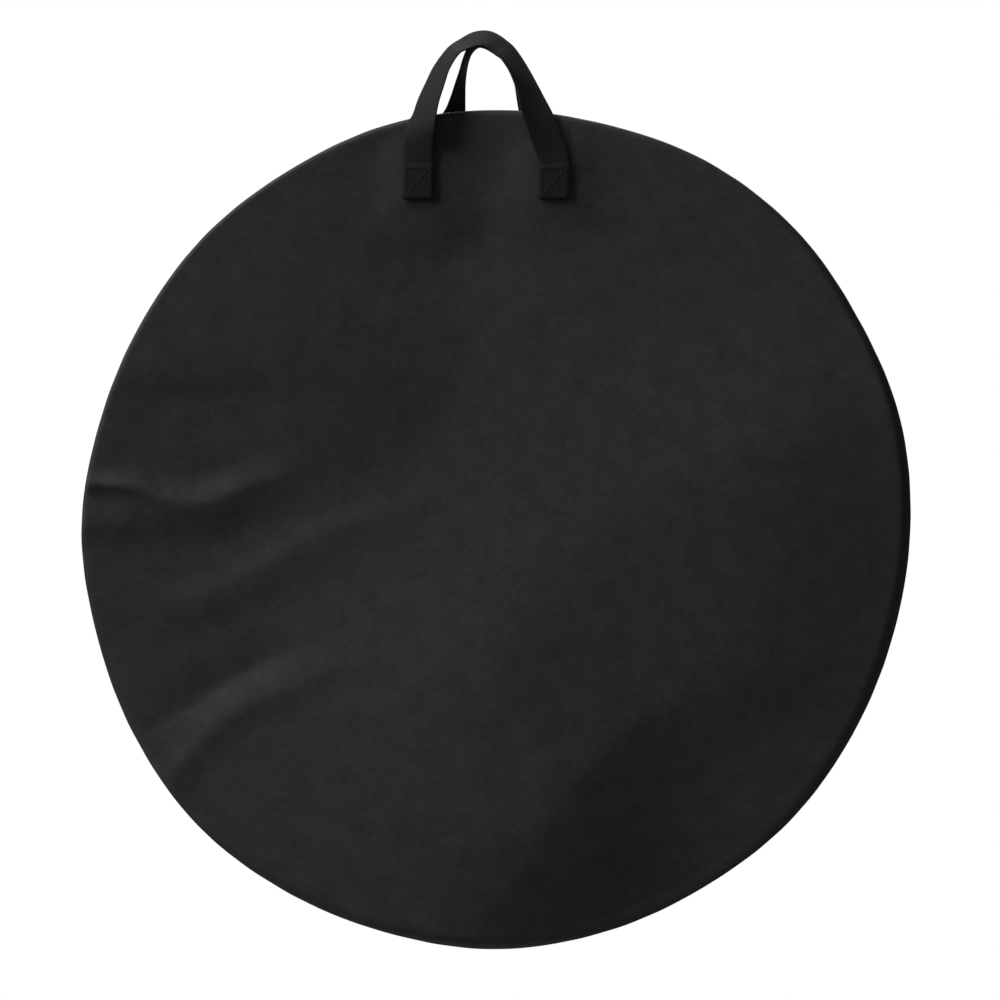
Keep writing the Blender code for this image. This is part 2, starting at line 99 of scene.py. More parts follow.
# Side wall: its face inside the rim, its start beside the seam, and its seam allowance as a panel's TUCK
WALL_INSET, WALL_START = 0.0002, 0.0016
ALLOWANCE = ((0.0035, 0.0011), (0.0009, 0.0012))
WALL_SHARES = np.linspace(0, 1, 6)
WALL_FLAT = 0.0055  # from the middle plane, the valley's flat bottom
WALL_WRINKLE, BAND_WRINKLE = 0.0006, 0.0004
WALL_LINING_DEPTH = 0.0016
# Rows of the wall's lining from one side to its middle: share of the wall's height, and out
WALL_LINING_ROWS = ((0.0, 0.0180), (0.6, 0.0140), (1.0, 0.0100))
RING_STEPS = 720

# Binding
BINDING_INSET, BINDING_DEPTH = 0.0118, 0.0068
BINDING_WIDTH, BINDING_HEIGHT, BINDING_CORNER = 0.0076, 0.0022, 0.0009
BINDING_RIPPLE = 0.0003

# Zip
BAND_EDGE_OUT = 0.0105
BAND_HEM = ((0.00025, 0.0004), (0.00055, 0.0002))  # its folded edge: how far under, and in from the edge
TAPE_RADIUS, TAPE, TAPE_OUT, TAPE_MEETS = 0.3439, 0.0007, 0.0140, 0.00003
COIL_PITCH = 0.0017
COIL_THREAD = 0.00036
COIL_MIDDLE_RADIUS, COIL_RISE = 0.34505, 0.00058
COIL_MIDDLE_OUT, COIL_REACH = 0.00185, 0.00160
COIL_END = radians(2.2)

# Stitches: half a thread's thickness, its width as a share of that, and each kind's pitch and gap
THREAD, THREAD_WIDTH = 0.00024, 1.15
BAND_STITCH = (0.0034, 0.0006)
BOX_STITCH = (0.0026, 0.0005)
# One stitch from end to end: share of its length, rise, and share of the thread's thickness
STITCH_SHARES = np.array([0.0, 0.10, 0.35, 0.65, 0.90, 1.0])
STITCH_RISE = np.array([-0.00030, 0.0, 0.00012, 0.00012, 0.0, -0.00030])
STITCH_SWELL = np.array([0.7, 1.0, 1.0, 1.0, 1.0, 0.7])
BAND_STITCH_SHARE = 0.80  # of the way from the rim seam to the band's edge
BAND_STITCH_END = radians(2.6)
BOX_HALF_WIDTH, BOX_LOW, BOX_HIGH = 0.0100, 0.0027, 0.0028  # the last two are its insets on a sewn end
BAND_STITCH_ABOVE, BOX_STITCH_ABOVE = 0.0001, 0.00002  # above the face that they are sewn to

# Handles
HANDLE_SPAN, HANDLE_SHIFT = 0.1145, -0.0095
HANDLE_FOOT, HANDLE_END_HEIGHT = 0.277, 0.029
WEBBING, WEBBING_WIDTH = 0.00145, 0.0258
WEBBING_CORNER, WEBBING_CROWN = 0.0006, 0.00016
SEWN_BACK_OUT = 0.029556  # from the middle plane to the back of a sewn end
SEWN_FACE_OUT = 0.032556
SEWN_IN = 0.0002  # how far a sewn end presses the panel in
FOLDS_CLEAR, LEVEL_CLEAR = 0.060, 0.030  # how softly folds and crown end round a sewn end
TIP_SHORT = 0.0035  # the turned-under tip ends that far below the sewn end's top
STRAP_BEND = (0.302, 0.318)  # the heights round where a strap meets its loop, given as its span
LOOP_PLANE_OUT = 0.031656  # from the middle plane

# Zip end tabs: each one's face swells from its edge to its middle, over the width TAB_EDGE
TAB_LOW, TAB_HIGH, TAB_HALF_WIDTH = -0.016, 0.010, 0.0095
TAB_RADIUS, TAB_SWELL, TAB_EDGE, TAB_THICKNESS = 0.34640, 0.0003, 0.0018, 0.0010
TAB_UNEVEN, TAB_UNEVEN_SIZE, TAB_SEED = 0.00008, 0.004, 2.2
TAB_SOFT_EDGE, TAB_STITCH_RADIUS, TAB_STITCH_INSET = 0.0002, 0.34672, 0.0017

# Sliders: their place along from the top of the rim, and the thickness and corners of their plates
SLIDER_ALONG, METAL, PLATE_CORNER = 0.0075, 0.0009, 0.0016
# Upper and lower plate: half the length, half the width at the nose and at the tail, and middle radius
SLIDER_PLATES = ((0.0060, 0.0047, 0.0040, 0.34715), (0.0059, 0.0046, 0.0039, 0.34225))
# Thickness and middle radius of each
NECK, FLANGE, RIB = (0.0046, 0.3447), (0.0016, 0.3460), (0.0004, 0.34882)
BRIDGE = ((-0.0034, 0.3474), (-0.0034, 0.3485), (-0.0030, 0.3493), (-0.0018, 0.3497), (0.0, 0.3498))
BRIDGE_THICKNESS, BRIDGE_ROWS = 0.00040, (0.0, -0.00062, 0.00062)
PULL_RADIUS = 0.34832
PULL_RIBS = np.arange(0.0068, 0.0185, 0.0017)  # where the ribs lie along it
PULL_HOLE, PULL_HOLE_PLACE = 0.0011, 0.0212  # its radius and where it lies
SHARP = radians(40)  # edges sharper than this show

# Camera in millimetres, lamps as name, place, size and power, and the rest of the stage in metres
LENS, SENSOR = 100.0, 36.0
CAMERA_PLANE = MID_Y - 0.014  # where PHOTO_SCALE holds
LAMPS = (
    ("key", (-3.19, -1.15, 3.19), (1.6, 4.4), 535.0),
    ("rear_fill", (0.5, 2.8, 2.4), (1.8, 1.8), 170.0),
)
ROOM_LIGHT = 0.20
FLOOR_RADIUS, FLOOR_LEVEL, FLOOR_FADE = 1.5, -1.40, (0.7, 1.45)

FRONT, REAR = -1, 1
LEFT, RIGHT = -1, 1
# The front's pieces get the flap as a second body and a span of heights, which leave them baked in place with
# no body, and the rear's go to the shell
BENDS = {FRONT: {"second": "front_flap", "span": (0.0, 0.088)}, REAR: {}}
NOISE_SEEDS = {FRONT: 3.1, REAR: 8.7}

# Each loop's middle line: photograph pixels, share of LOOP_PLANE_OUT, and the webbing's turn in degrees. A
# scratch script worked it out from edges read off the photograph, and it was adjusted by hand.
FRONT_LOOP = (
    (418.3, 166.6, 1.00, 0), (418.6, 152.7, 1.00, 2), (419.6, 139.9, 1.01, 9), (421.9, 129.1, 1.02, 24),
    (424.9, 119.0, 1.01, 37), (428.4, 105.1, 0.97, 44), (434.4, 88.4, 0.89, 50), (441.8, 69.4, 0.74, 57),
    (453.2, 52.2, 0.57, 61), (465.2, 44.1, 0.46, 58), (475.4, 39.3, 0.40, 53), (483.6, 38.2, 0.38, 50),
    (490.6, 39.9, 0.39, 49), (499.2, 46.0, 0.43, 48), (508.3, 54.5, 0.50, 50), (518.9, 71.1, 0.62, 50),
    (527.9, 91.3, 0.81, 42), (533.3, 106.8, 0.95, 28), (539.2, 122.7, 1.02, 13), (545.4, 139.0, 1.02, 5),
    (550.6, 153.0, 1.00, 1), (553.6, 166.6, 1.00, 0),
)
REAR_LOOP = (
    (418.3, 166.6, 1.00, 0), (424.0, 150.0, 1.03, 8), (434.0, 136.0, 1.05, 24), (445.5, 122.5, 1.04, 38),
    (453.4, 107.1, 0.98, 49), (456.6, 92.6, 0.89, 63), (459.0, 79.3, 0.78, 73), (462.0, 66.4, 0.67, 80),
    (465.4, 54.2, 0.56, 83), (469.4, 45.6, 0.49, 84), (474.9, 39.8, 0.44, 83), (480.8, 37.6, 0.42, 81),
    (487.8, 39.2, 0.43, 80), (498.8, 45.6, 0.47, 79), (509.4, 53.4, 0.54, 79), (516.8, 64.6, 0.65, 77),
    (521.0, 78.1, 0.78, 73), (525.2, 91.6, 0.90, 64), (530.6, 106.6, 1.00, 50), (537.6, 124.0, 1.04, 28),
    (546.4, 143.0, 1.03, 10), (553.6, 166.6, 1.00, 0),
)

# Folds of a panel. In mm: height (a valley's is negative), width to the left and to the right of the line,
# and edge (0 for a soft round fold, more for a pleat with flat sides and an edge that round). Then how much
# of it fades at its start and end, and its line in photograph pixels. The broad ones are pleats. The front's
# come from the fit named above, and the rear's are invented.
FRONT_PLEATS = (
    (-10.7, 310, 480, 12, 0.0, 0.25, (
        (40, 500), (150, 500), (250, 497), (340, 484), (400, 462), (440, 425), (462, 375), (466, 305),
        (452, 240), (430, 150), (410, 60),
    )),
    (8.8, 153, 212, 30, 0.0, 0.0, (
        (430, 1010), (480, 880), (497, 760), (505, 660), (540, 580), (620, 520), (730, 465), (920, 400),
    )),
    (7.2, 310, 116, 7, 0.0, 0.3, (
        (440, 1010), (487, 915), (535, 830), (575, 770), (640, 712), (740, 680), (900, 640),
    )),
)
FRONT_FOLDS = (
    (4.6, 14, 10, 2, 0.0, 0.6, ((60, 484), (90, 484), (130, 487), (160, 497), (190, 503))),
    (5.6, 23, 40, 4, 0.35, 0.5, (
        (90, 482), (130, 488), (155, 501), (187, 505), (215, 500), (262, 482), (325, 462),
    )),
    (2.1, 18, 16, 0, 0.0, 0.4, ((70, 520), (118, 520), (150, 514))),
    (-0.9, 23, 30, 6, 0.0, 0.5, ((70, 548), (150, 549), (205, 548), (262, 528), (320, 504), (380, 488))),
    (1.5, 16, 40, 4, 0.3, 0.5, (
        (110, 600), (165, 602), (215, 590), (250, 573), (300, 546), (340, 528), (410, 504), (490, 486),
    )),
    (-1.4, 16, 45, 0, 0.3, 0.5, ((120, 668), (170, 650), (215, 632), (262, 610), (320, 584), (380, 570))),
    (-3.8, 36, 16, 3, 0.3, 0.5, ((130, 745), (160, 722), (190, 706), (225, 683), (285, 652), (350, 636))),
    (2.5, 18, 24, 4, 0.1, 0.6, (
        (150, 795), (172, 776), (200, 742), (235, 712), (280, 692), (345, 664), (400, 645),
    )),
    (0.4, 9, 13, 0, 0.1, 0.4, ((98, 655), (112, 688), (138, 722), (150, 745))),
    (-0.6, 71, 63, 0, 0.4, 0.4, ((492, 620), (484, 720), (492, 800), (510, 880))),
    (0.9, 18, 11, 0, 0.5, 0.5, ((520, 680), (532, 745), (546, 790), (560, 850))),
    (0.3, 3, 3, 0, 0.3, 0.4, ((586, 604), (612, 622), (655, 656))),
    (-1.8, 15, 50, 0, 0.3, 0.5, ((90, 404), (190, 400), (260, 398), (330, 408))),
    (0.5, 15, 38, 0, 0.3, 0.5, ((100, 356), (180, 350), (260, 350), (340, 356))),
)
# Soft hollows and bulges of the slack front, from the same fit: place in photograph pixels, radius and height
# in mm
FRONT_BULGES = (
    (236, 185, 179, 7.0), (857, 421, 184, 6.6), (600, 559, 157, -7.0), (100, 664, 102, -7.0),
    (434, 684, 72, 2.8), (790, 950, 190, -10.0), (585, 842, 66, 7.4), (900, 555, 130, 7.0),
    (318, 901, 137, 7.0), (580, 313, 127, 5.9),
)
REAR_PLEATS = (
    (-6.5, 220, 260, 12, 0.0, 0.0, ((60, 640), (200, 600), (340, 560), (430, 470), (480, 340), (500, 60))),
    (6.5, 200, 240, 16, 0.0, 0.2, ((560, 1000), (580, 860), (640, 740), (740, 640), (930, 560))),
)
REAR_FOLDS = (
    (3.2, 20, 12, 2, 0.0, 0.5, ((80, 600), (180, 585), (290, 600), (400, 570))),
    (-2.4, 14, 16, 0, 0.0, 0.5, ((90, 660), (190, 640), (300, 650), (400, 620))),
    (3.6, 24, 18, 4, 0.1, 0.5, ((160, 790), (260, 735), (370, 720), (480, 670))),
    (-4.0, 40, 34, 6, 0.0, 0.4, ((520, 985), (560, 880), (640, 790), (760, 735))),
    (2.6, 26, 26, 0, 0.0, 0.5, ((900, 640), (800, 650), (700, 690), (620, 760))),
    (-1.8, 24, 20, 0, 0.2, 0.5, ((430, 220), (470, 300), (520, 380), (560, 450))),
    (1.8, 22, 26, 0, 0.2, 0.5, ((560, 220), (600, 310), (660, 380), (740, 420))),
    (-2.0, 20, 24, 0, 0.0, 0.5, ((910, 430), (820, 440), (730, 480))),
    (1.4, 30, 30, 0, 0.2, 0.5, ((150, 380), (240, 400), (340, 390))),
)
RELIEF = {FRONT: (FRONT_PLEATS, FRONT_FOLDS, FRONT_BULGES), REAR: (REAR_PLEATS, REAR_FOLDS, ())}


# Numbers and curves


def smooth(t):
    """0 below 0, 1 above 1, and an even S between."""
    t = np.clip(t, 0.0, 1.0)
    return t * t * (3 - 2 * t)


def stacked(*parts):
    """Points whose coordinates are the parts."""
    return np.stack(np.broadcast_arrays(*parts), -1)


def from_photo(points):
    """Photograph pixels as (x, z) in metres."""
    return (np.array(points, float) - PHOTO_MIDDLE) * (PHOTO_SCALE, -PHOTO_SCALE)


def cubic(a, b, c, d, t):
    """The value at share t of the way from b to c on a curve through a, b, c and d."""
    square = (2 * a - 5 * b + 4 * c - d) * t**2
    cube = (3 * b - a - 3 * c + d) * t**3
    return (2 * b + (c - a) * t + square + cube) / 2


def smooth_line(stations, steps):
    """Points on a smooth curve through the stations, that many between each two."""
    stations = np.array(stations, float)
    made = []
    last = len(stations) - 1
    for i in range(last):
        four = [stations[min(max(i + k, 0), last)] for k in (-1, 0, 1, 2)]
        made += [cubic(*four, step / steps) for step in range(steps)]
    return np.array([*made, stations[last]])


def unit(vectors):
    """The vectors, each made 1 long."""
    return vectors / np.linalg.norm(vectors, axis=-1, keepdims=True)


def run_lengths(points):
    """How far along its line each point lies."""
    return np.concatenate([[0], np.cumsum(np.linalg.norm(np.diff(points, axis=0), axis=1))])


def wander(points, scale, seed):
    """Smooth noise from -1 to 1 at those (x, z) points, with features about that many metres across."""
    flat = points.reshape(-1, 2) / scale
    return np.array([noise.noise((x, z, seed)) for x, z in flat]).reshape(points.shape[:-1])


def rim_radius(angle):
    """The rim's radius at those angles."""
    place = angle % tau / tau * len(RIM_BULGES)
    i = np.floor(place).astype(int)
    table = np.array(RIM_BULGES) / 1000
    four = [table[(i + k) % len(table)] for k in (-1, 0, 1, 2)]
    puckers = RIM_PUCKERS * np.sin(61 * angle) * np.sin(7 * angle + 1)
    return BAG_RADIUS + cubic(*four, place - i) + puckers


def shoulder(angle):
    """How far in from the rim a panel starts to turn over."""
    return SHOULDER - SHOULDER_VARIES * np.cos(angle - SHOULDER_LEAST)


def seam_out(angle):
    """A rim seam's distance from the middle plane."""
    return SEAM_OUT + SEAM_WANDER * np.sin(11 * angle) * np.cos(5 * angle + 2)


def flat_round(angle, radius):
    """(x, z) points at those angles and radii."""
    return stacked(radius * np.cos(angle), radius * np.sin(angle))


def round_rim(angle, radius, out):
    """Points at those angles and radii, at a distance from the middle plane."""
    return stacked(radius * np.cos(angle), MID_Y + out, radius * np.sin(angle))


# The panels' shape


def fold_height(points, fold):
    """Height of one fold at those (x, z) points."""
    height, left, right, edge, fade_in, fade_out, pixels = fold
    line = smooth_line(from_photo(pixels), 8)
    best = np.full(len(points), 1e9)
    side, share = np.zeros(len(points)), np.zeros(len(points))
    starts = run_lengths(line)
    for i, length in enumerate(np.diff(starts)):
        along = (line[i + 1] - line[i]) / length
        away = points - line[i]
        t = np.clip(away @ along, 0, length)
        gap = np.linalg.norm(away - t[:, None] * along, axis=1)
        nearer = gap < best
        best = np.where(nearer, gap, best)
        side = np.where(nearer, along[0] * away[:, 1] - along[1] * away[:, 0], side)
        share = np.where(nearer, (starts[i] + t) / starts[-1], share)
    width = np.where(side > 0, left, right) / 1000
    fade = smooth(share / max(fade_in, 1e-6)) * smooth((1 - share) / max(fade_out, 1e-6))
    if edge:
        edge = edge / 1000
        q = np.clip((np.sqrt(best**2 + edge**2) - edge) / width, 0, 1)
        return height / 1000 * fade * (1 - np.sin(pi / 2 * q))
    return height / 1000 * fade * np.exp(-((best / width) ** 2))


def relief(flat, side):
    """How far a panel's folds stand out from its crowned face at those (x, z) points."""
    pleats, folds, bulges = RELIEF[side]
    broad = sum(fold_height(flat, fold) for fold in pleats)
    for *pixel, size, height in bulges:
        gap = np.linalg.norm(flat - from_photo([pixel]), axis=1)
        broad = broad + height / 1000 * np.exp(-((gap / size * 1000) ** 2))
    fine = sum(fold_height(flat, fold) for fold in folds)
    for across, high in UNEVEN:
        fine = fine + high * wander(flat, across, NOISE_SEEDS[side])
    to_rim = smooth((np.linalg.norm(flat, axis=1) - EASE_START) / (EASE_END - EASE_START))
    total = broad * (1 - PLEATS_EASED * to_rim) + fine * (1 - FOLDS_EASED * to_rim)
    return total * (1 - near_tabs(flat, FOLDS_CLEAR))


def near_tabs(flat, soft):
    """1 under the four sewn handle ends' places, fading to 0 that far outside them."""
    clear = np.ones(len(flat))
    for hand in (LEFT, RIGHT):
        beside = np.abs(flat[:, 0] - HANDLE_SHIFT - hand * HANDLE_SPAN / 2) - WEBBING_WIDTH / 2
        above = np.abs(flat[:, 1] - HANDLE_FOOT - HANDLE_END_HEIGHT / 2) - HANDLE_END_HEIGHT / 2
        gap = np.hypot(np.maximum(beside, 0), np.maximum(above, 0))
        clear = clear * smooth(gap / soft)
    return 1 - clear


def face_out(points, side):
    """Distance of a panel's outer face from the middle plane at those (x, z) points, folds included."""
    flat = points.reshape(-1, 2)
    radius = np.linalg.norm(flat, axis=1)
    crowned = EDGE_OUT + CROWN * (1 - smooth((radius - CROWN_START) / (CROWN_END - CROWN_START)))
    tabs = near_tabs(flat, LEVEL_CLEAR)
    level = crowned * (1 - tabs) + (SEWN_BACK_OUT - SEWN_IN) * tabs
    if side == FRONT:
        slack = np.clip(np.cos(np.arctan2(flat[:, 1], flat[:, 0]) - SLACK_ANGLE), 0, 1) ** SLACK_NARROW
        to_rim = np.clip((radius - SLACK_START) / (BAG_RADIUS - SLACK_START), 0, 1)
        level = level - SLACK_DROP * slack * to_rim**SLACK_CURVE
    return (level + relief(flat, side)).reshape(points.shape[:-1])


def disc_grid(steps):
    """(u, v) points of a square grid bent to the unit disc."""
    b = np.linspace(-1, 1, steps + 1)
    a = b[:, None]
    return stacked(a * np.sqrt(1 - b * b / 2), b * np.sqrt(1 - a * a / 2))


def grid_faces(rows, columns, closed=False):
    """Quads of a grid of points numbered row by row. closed joins the last column to the first."""
    n = np.arange(rows * columns).reshape(rows, columns)
    n = np.append(n, n[:, :1], 1) if closed else n
    return np.stack([n[:-1, :-1], n[:-1, 1:], n[1:, 1:], n[1:, :-1]], -1).reshape(-1, 4)


def edge_loop(steps):
    """Numbers of the disc grid's edge points, once round."""
    n = np.arange((steps + 1) ** 2).reshape(steps + 1, -1)
    return np.concatenate([n[:-1, 0], n[-1, :-1], n[:0:-1, -1], n[0, :0:-1]])


# Meshes


def new_object(name, data):
    """An object in the scene."""
    obj = bpy.data.objects.new(name, data)
    bpy.context.scene.collection.objects.link(obj)
    return obj


def new_mesh(name, points, faces, uv=None):
    """A smooth mesh object. uv has a pair for each point."""
    mesh = bpy.data.meshes.new(name)
    points = np.asarray(points, float).reshape(-1, 3)
    mesh.from_pydata(points.tolist(), [], faces.tolist() if isinstance(faces, np.ndarray) else faces)
    mesh.shade_smooth()
    if uv is not None:
        layer = mesh.uv_layers.new(name="cloth")
        loops = np.empty(len(mesh.loops), np.int32)
        mesh.loops.foreach_get("vertex_index", loops)
        layer.uv.foreach_set("vector", np.asarray(uv, np.float32).reshape(-1, 2)[loops].ravel())
    return new_object(name, mesh)


def turned_alike(points, faces):
    """The faces, turned to face away from the pocket's middle on the whole, or out of a closed form."""
    points = points.reshape(-1, 3) - (0, MID_Y, 0)
    a, b, c = (points[faces[:, k]] for k in (0, 1, 2))
    facing = (np.cross(b - a, c - a) * (a + c) / 2).sum()
    return faces if facing > 0 else faces[:, ::-1]


def finish_piece(obj, slot, nodes=(), body="shell", second=None, span=None):
    """Gives a piece the material of its slot and its body, or with a second body only bakes it in place, with
    no body. span is not used.
    """
    obj.data.materials.clear()
    obj.data.materials.append(FINISHES[slot])
    if second:
        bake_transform(obj)
    else:
        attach(obj, body)
    if nodes:
        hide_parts(*nodes)


def evaluated_mesh(obj):
    """A new mesh of what an object makes."""
    return bpy.data.meshes.new_from_object(obj.evaluated_get(bpy.context.evaluated_depsgraph_get()))


def thicken(obj, thickness):
    """Gives a sheet its thickness, inwards from its modelled face.
    """
    wall = obj.modifiers.new("thickness", "SOLIDIFY")
    wall.thickness = thickness
    wall.offset = -1.0
    wall.use_even_offset = False
    made = evaluated_mesh(obj)
    obj.modifiers.clear()
    obj.data = made
    return obj


def weld(obj):
    """Joins points that lie on each other."""
    join = obj.modifiers.new("join", "WELD")
    join.merge_threshold = 1e-5


def swept(sections, closed=True):
    """(points, faces) of a body through rings of points, with both ends capped. Where it isn't closed, each
    ring's last point lies on its first."""
    count, sides = sections.shape[:2]
    faces = grid_faces(count, sides, closed=closed).tolist()
    ends = sections[[0, -1]] if closed else sections[[0, -1], :-1]
    points = np.concatenate([sections.reshape(-1, 3), ends.mean(1)])
    first, last, far = count * sides, count * sides + 1, (count - 1) * sides
    for j in range(sides if closed else sides - 1):
        k = (j + 1) % sides
        faces += [[k, j, first], [far + j, far + k, last]]
    return points, faces


def tube(path, radius, sides, beside, width=1.0):
    """(points, faces) of a closed tube along a path. beside is a direction that the path never takes. Across
    it and the path the tube is wider by the share width."""
    path = np.asarray(path, float)
    ahead = unit(np.gradient(path, axis=0))
    across = unit(np.cross(ahead, np.broadcast_to(np.asarray(beside, float), path.shape)))
    up = np.cross(across, ahead)
    turn = (np.arange(sides) / sides * tau)[:, None]
    radius = np.broadcast_to(np.asarray(radius, float), len(path))[:, None, None]
    around = across[:, None] * np.cos(turn) * width + up[:, None] * np.sin(turn)
    return swept(path[:, None] + radius * around)


def joined(name, bodies):
    """One object of several (points, faces) bodies."""
    faces, start = [], 0
    for points, body_faces in bodies:
        faces += [[i + start for i in face] for face in body_faces]
        start += len(points)
    return new_mesh(name, np.concatenate([body[0] for body in bodies]), faces)


# Materials


def plug(node, key, value):
    """Sets a node's input to a value, or links a socket to it. A key such as in 6 gives its number."""
    socket = node.inputs[int(key[3:])] if key.startswith("in ") else node.inputs[key]
    if isinstance(value, bpy.types.NodeSocket):
        node.id_data.links.new(value, socket)
    else:
        socket.default_value = value


def add_node(tree, kind, settings=None, **inputs):
    """A node with its settings and its inputs, in whose names _ stands for a space."""
    node = tree.nodes.new("ShaderNode" + kind)
    for key, value in (settings or {}).items():
        setattr(node, key, value)
    for key, value in inputs.items():
        plug(node, key.replace("_", " "), value)
    return node


class Nodes:
    """A material's node tree, with short ways to add to it."""

    def __init__(self, name, colour, roughness, **sockets):
        self.material = bpy.data.materials.new(name)
        self.material.use_nodes = True
        self.tree = self.material.node_tree
        self.shader = self.tree.nodes["Principled BSDF"]
        self.shade(Base_Color=(*colour, 1), Roughness=roughness, **sockets)

    def shade(self, **sockets):
        """Sets or links the shader's sockets."""
        for key, value in sockets.items():
            plug(self.shader, key.replace("_", " "), value)

    def add(self, kind, settings=None, **inputs):
        return add_node(self.tree, kind, settings, **inputs)

    def math(self, operation, *values, clamp=False):
        inputs = {f"in_{i}": value for i, value in enumerate(values)}
        return self.add("Math", {"operation": operation, "use_clamp": clamp}, **inputs).outputs[0]

    def uv(self, across=1.0, along=1.0):
        """The piece's own cloth coordinates, in metres, scaled."""
        source = self.add("UVMap", {"uv_map": "cloth"}).outputs["UV"]
        return self.add("Mapping", Vector=source, Scale=(across, along, 1)).outputs["Vector"]

    def place(self, scale=1.0):
        """The piece's own place, in metres, scaled."""
        source = self.add("TexCoord").outputs["Object"]
        return self.add("Mapping", Vector=source, Scale=(scale, scale, scale)).outputs["Vector"]

    def noise(self, vector, detail=2.0, roughness=0.5):
        made = self.add("TexNoise", Vector=vector, Scale=1.0, Detail=detail, Roughness=roughness)
        return made.outputs["Fac"]

    def remap(self, value, low, high, to_low, to_high):
        ends = {"From_Min": low, "From_Max": high, "To_Min": to_low, "To_Max": to_high}
        return self.add("MapRange", Value=value, **ends).outputs["Result"]

    def weighed(self, a, share_a, b, share_b):
        """The sum of two values, each times its share."""
        return self.math("MULTIPLY_ADD", b, share_b, self.math("MULTIPLY", a, share_a))

    def ribs(self, value, pitch=1.0):
        """Round ribs from 0 to 1, that far apart."""
        return self.math("ABSOLUTE", self.math("SINE", self.math("MULTIPLY", value, pi / pitch)))

    def tint(self, dark, light, factor):
        """The base colour, from dark to light by a factor."""
        mix = self.add("Mix", {"data_type": "RGBA"}, Factor=factor, in_6=(*dark, 1), in_7=(*light, 1))
        self.shade(Base_Color=mix.outputs[2])

    def bump(self, height, distance, strength, **under):
        """Relief of that height, over an earlier one given as Normal."""
        bump = self.add("Bump", Height=height, Distance=distance, Strength=strength, **under)
        self.shade(Normal=bump.outputs["Normal"])
        return bump.outputs["Normal"]

    def weave(self, pitch_across, pitch_along):
        """Height of a plain weave of round threads, 0 to 1."""
        parts = self.add("SeparateXYZ", Vector=self.uv(1 / pitch_across, 1 / pitch_along))
        u, v = parts.outputs["X"], parts.outputs["Y"]
        over = self.math("PINGPONG", self.math("ADD", self.math("FLOOR", u), self.math("FLOOR", v)), 1.0)
        threads_u = self.math("POWER", self.ribs(u), self.math("MULTIPLY_ADD", over, 0.6, 0.3))
        threads_v = self.math("POWER", self.ribs(v), self.math("MULTIPLY_ADD", over, -0.6, 0.9))
        return self.math("MULTIPLY", threads_u, threads_v)


def fabric_material():
    """Coarse matt black woven polyester with slubs and faint mottling."""
    n = Nodes("black_oxford_cloth", (0.023, 0.023, 0.0235), 0.85, Specular_IOR_Level=0.04)
    height = n.weave(0.00055, 0.00055)
    slubs = n.math("ADD", n.noise(n.uv(900, 35), 1.0), n.noise(n.uv(35, 900), 1.0))
    patches = n.noise(n.uv(190, 190), 3.0, 0.55)
    clouds = n.noise(n.uv(45, 45), 2.0, 0.5)
    tone = n.weighed(patches, 0.55, clouds, 0.45)
    tone = n.math("MULTIPLY_ADD", n.math("SUBTRACT", slubs, 1.0), 0.10, tone)
    n.tint((0.0190, 0.0190, 0.0194), (0.0285, 0.0285, 0.0290), n.remap(tone, 0.32, 0.68, 0, 1))
    coarse = n.bump(clouds, 0.0004, 0.5)
    n.bump(n.math("MULTIPLY_ADD", slubs, 0.45, height), 0.00004, 0.8, Normal=coarse)
    n.shade(Roughness=n.remap(patches, 0.3, 0.7, 0.80, 0.90))
    return n.material


def webbing_material():
    """Woven strapping: ribs in chevrons along its length."""
    pitch = 0.0016
    n = Nodes("black_webbing", (0.012, 0.012, 0.012), 0.78, Specular_IOR_Level=0.08)
    parts = n.add("SeparateXYZ", Vector=n.uv())
    across, along = parts.outputs["X"], parts.outputs["Y"]
    slant = n.math("MULTIPLY_ADD", n.math("PINGPONG", across, pitch * 1.6), 0.75, along)
    chevrons = n.math("POWER", n.ribs(slant, pitch), 0.6)
    height = n.math("MULTIPLY", chevrons, n.math("POWER", n.ribs(across, pitch * 0.8), 0.35))
    fuzz = n.noise(n.uv(1500, 1500), 3.0, 0.6)
    # Half of this tone is painted shade: the webbing is darker in the grooves between its ribs and lighter on
    # their crests, by the same height as its bump. The other half is fuzz, a random tone of the yarn.
    tone = n.remap(n.weighed(height, 0.5, fuzz, 0.5), 0.25, 0.85, 0, 1)
    n.tint((0.0056, 0.0056, 0.0058), (0.0104, 0.0104, 0.0107), tone)
    n.bump(fuzz, 0.00008, 0.6, Normal=n.bump(height, 0.00020, 0.8))
    return n.material


def tape_material(name, colour, rib):
    """Narrow woven tape with fine ribs across it."""
    n = Nodes(name, colour, 0.75, Specular_IOR_Level=0.22)
    height = n.weave(rib * 0.6, rib)
    fuzz = n.noise(n.uv(1200, 1200), 2.0)
    # Partly painted shade: about half of the tint follows the weave's height, so the tape is darker between
    # its threads and lighter on their crests. The rest is fuzz, a random tone.
    n.tint([0.6 * c for c in colour], [1.9 * c for c in colour], n.weighed(height, 0.5, fuzz, 0.4))
    n.bump(n.math("MULTIPLY_ADD", fuzz, 0.3, height), 0.00018, 0.8)
    return n.material


def lining_material():
    """Thin smooth nylon lining with a fine square weave and a faint sheen."""
    n = Nodes("grey_nylon_lining", (0.035, 0.035, 0.037), 0.55, Specular_IOR_Level=0.30, Sheen_Weight=0.10)
    height = n.weave(0.00032, 0.00032)
    creases = n.noise(n.uv(60, 60), 4.0, 0.6)
    # Painted shade: the tint follows the creases' height and the weave's, so the lining is darker in its
    # creases' hollows and between its threads, and lighter on their tops.
    n.tint((0.024, 0.024, 0.026), (0.046, 0.046, 0.049), n.weighed(creases, 0.7, height, 0.3))
    n.bump(height, 0.00006, 0.6, Normal=n.bump(creases, 0.0016, 0.5))
    return n.material


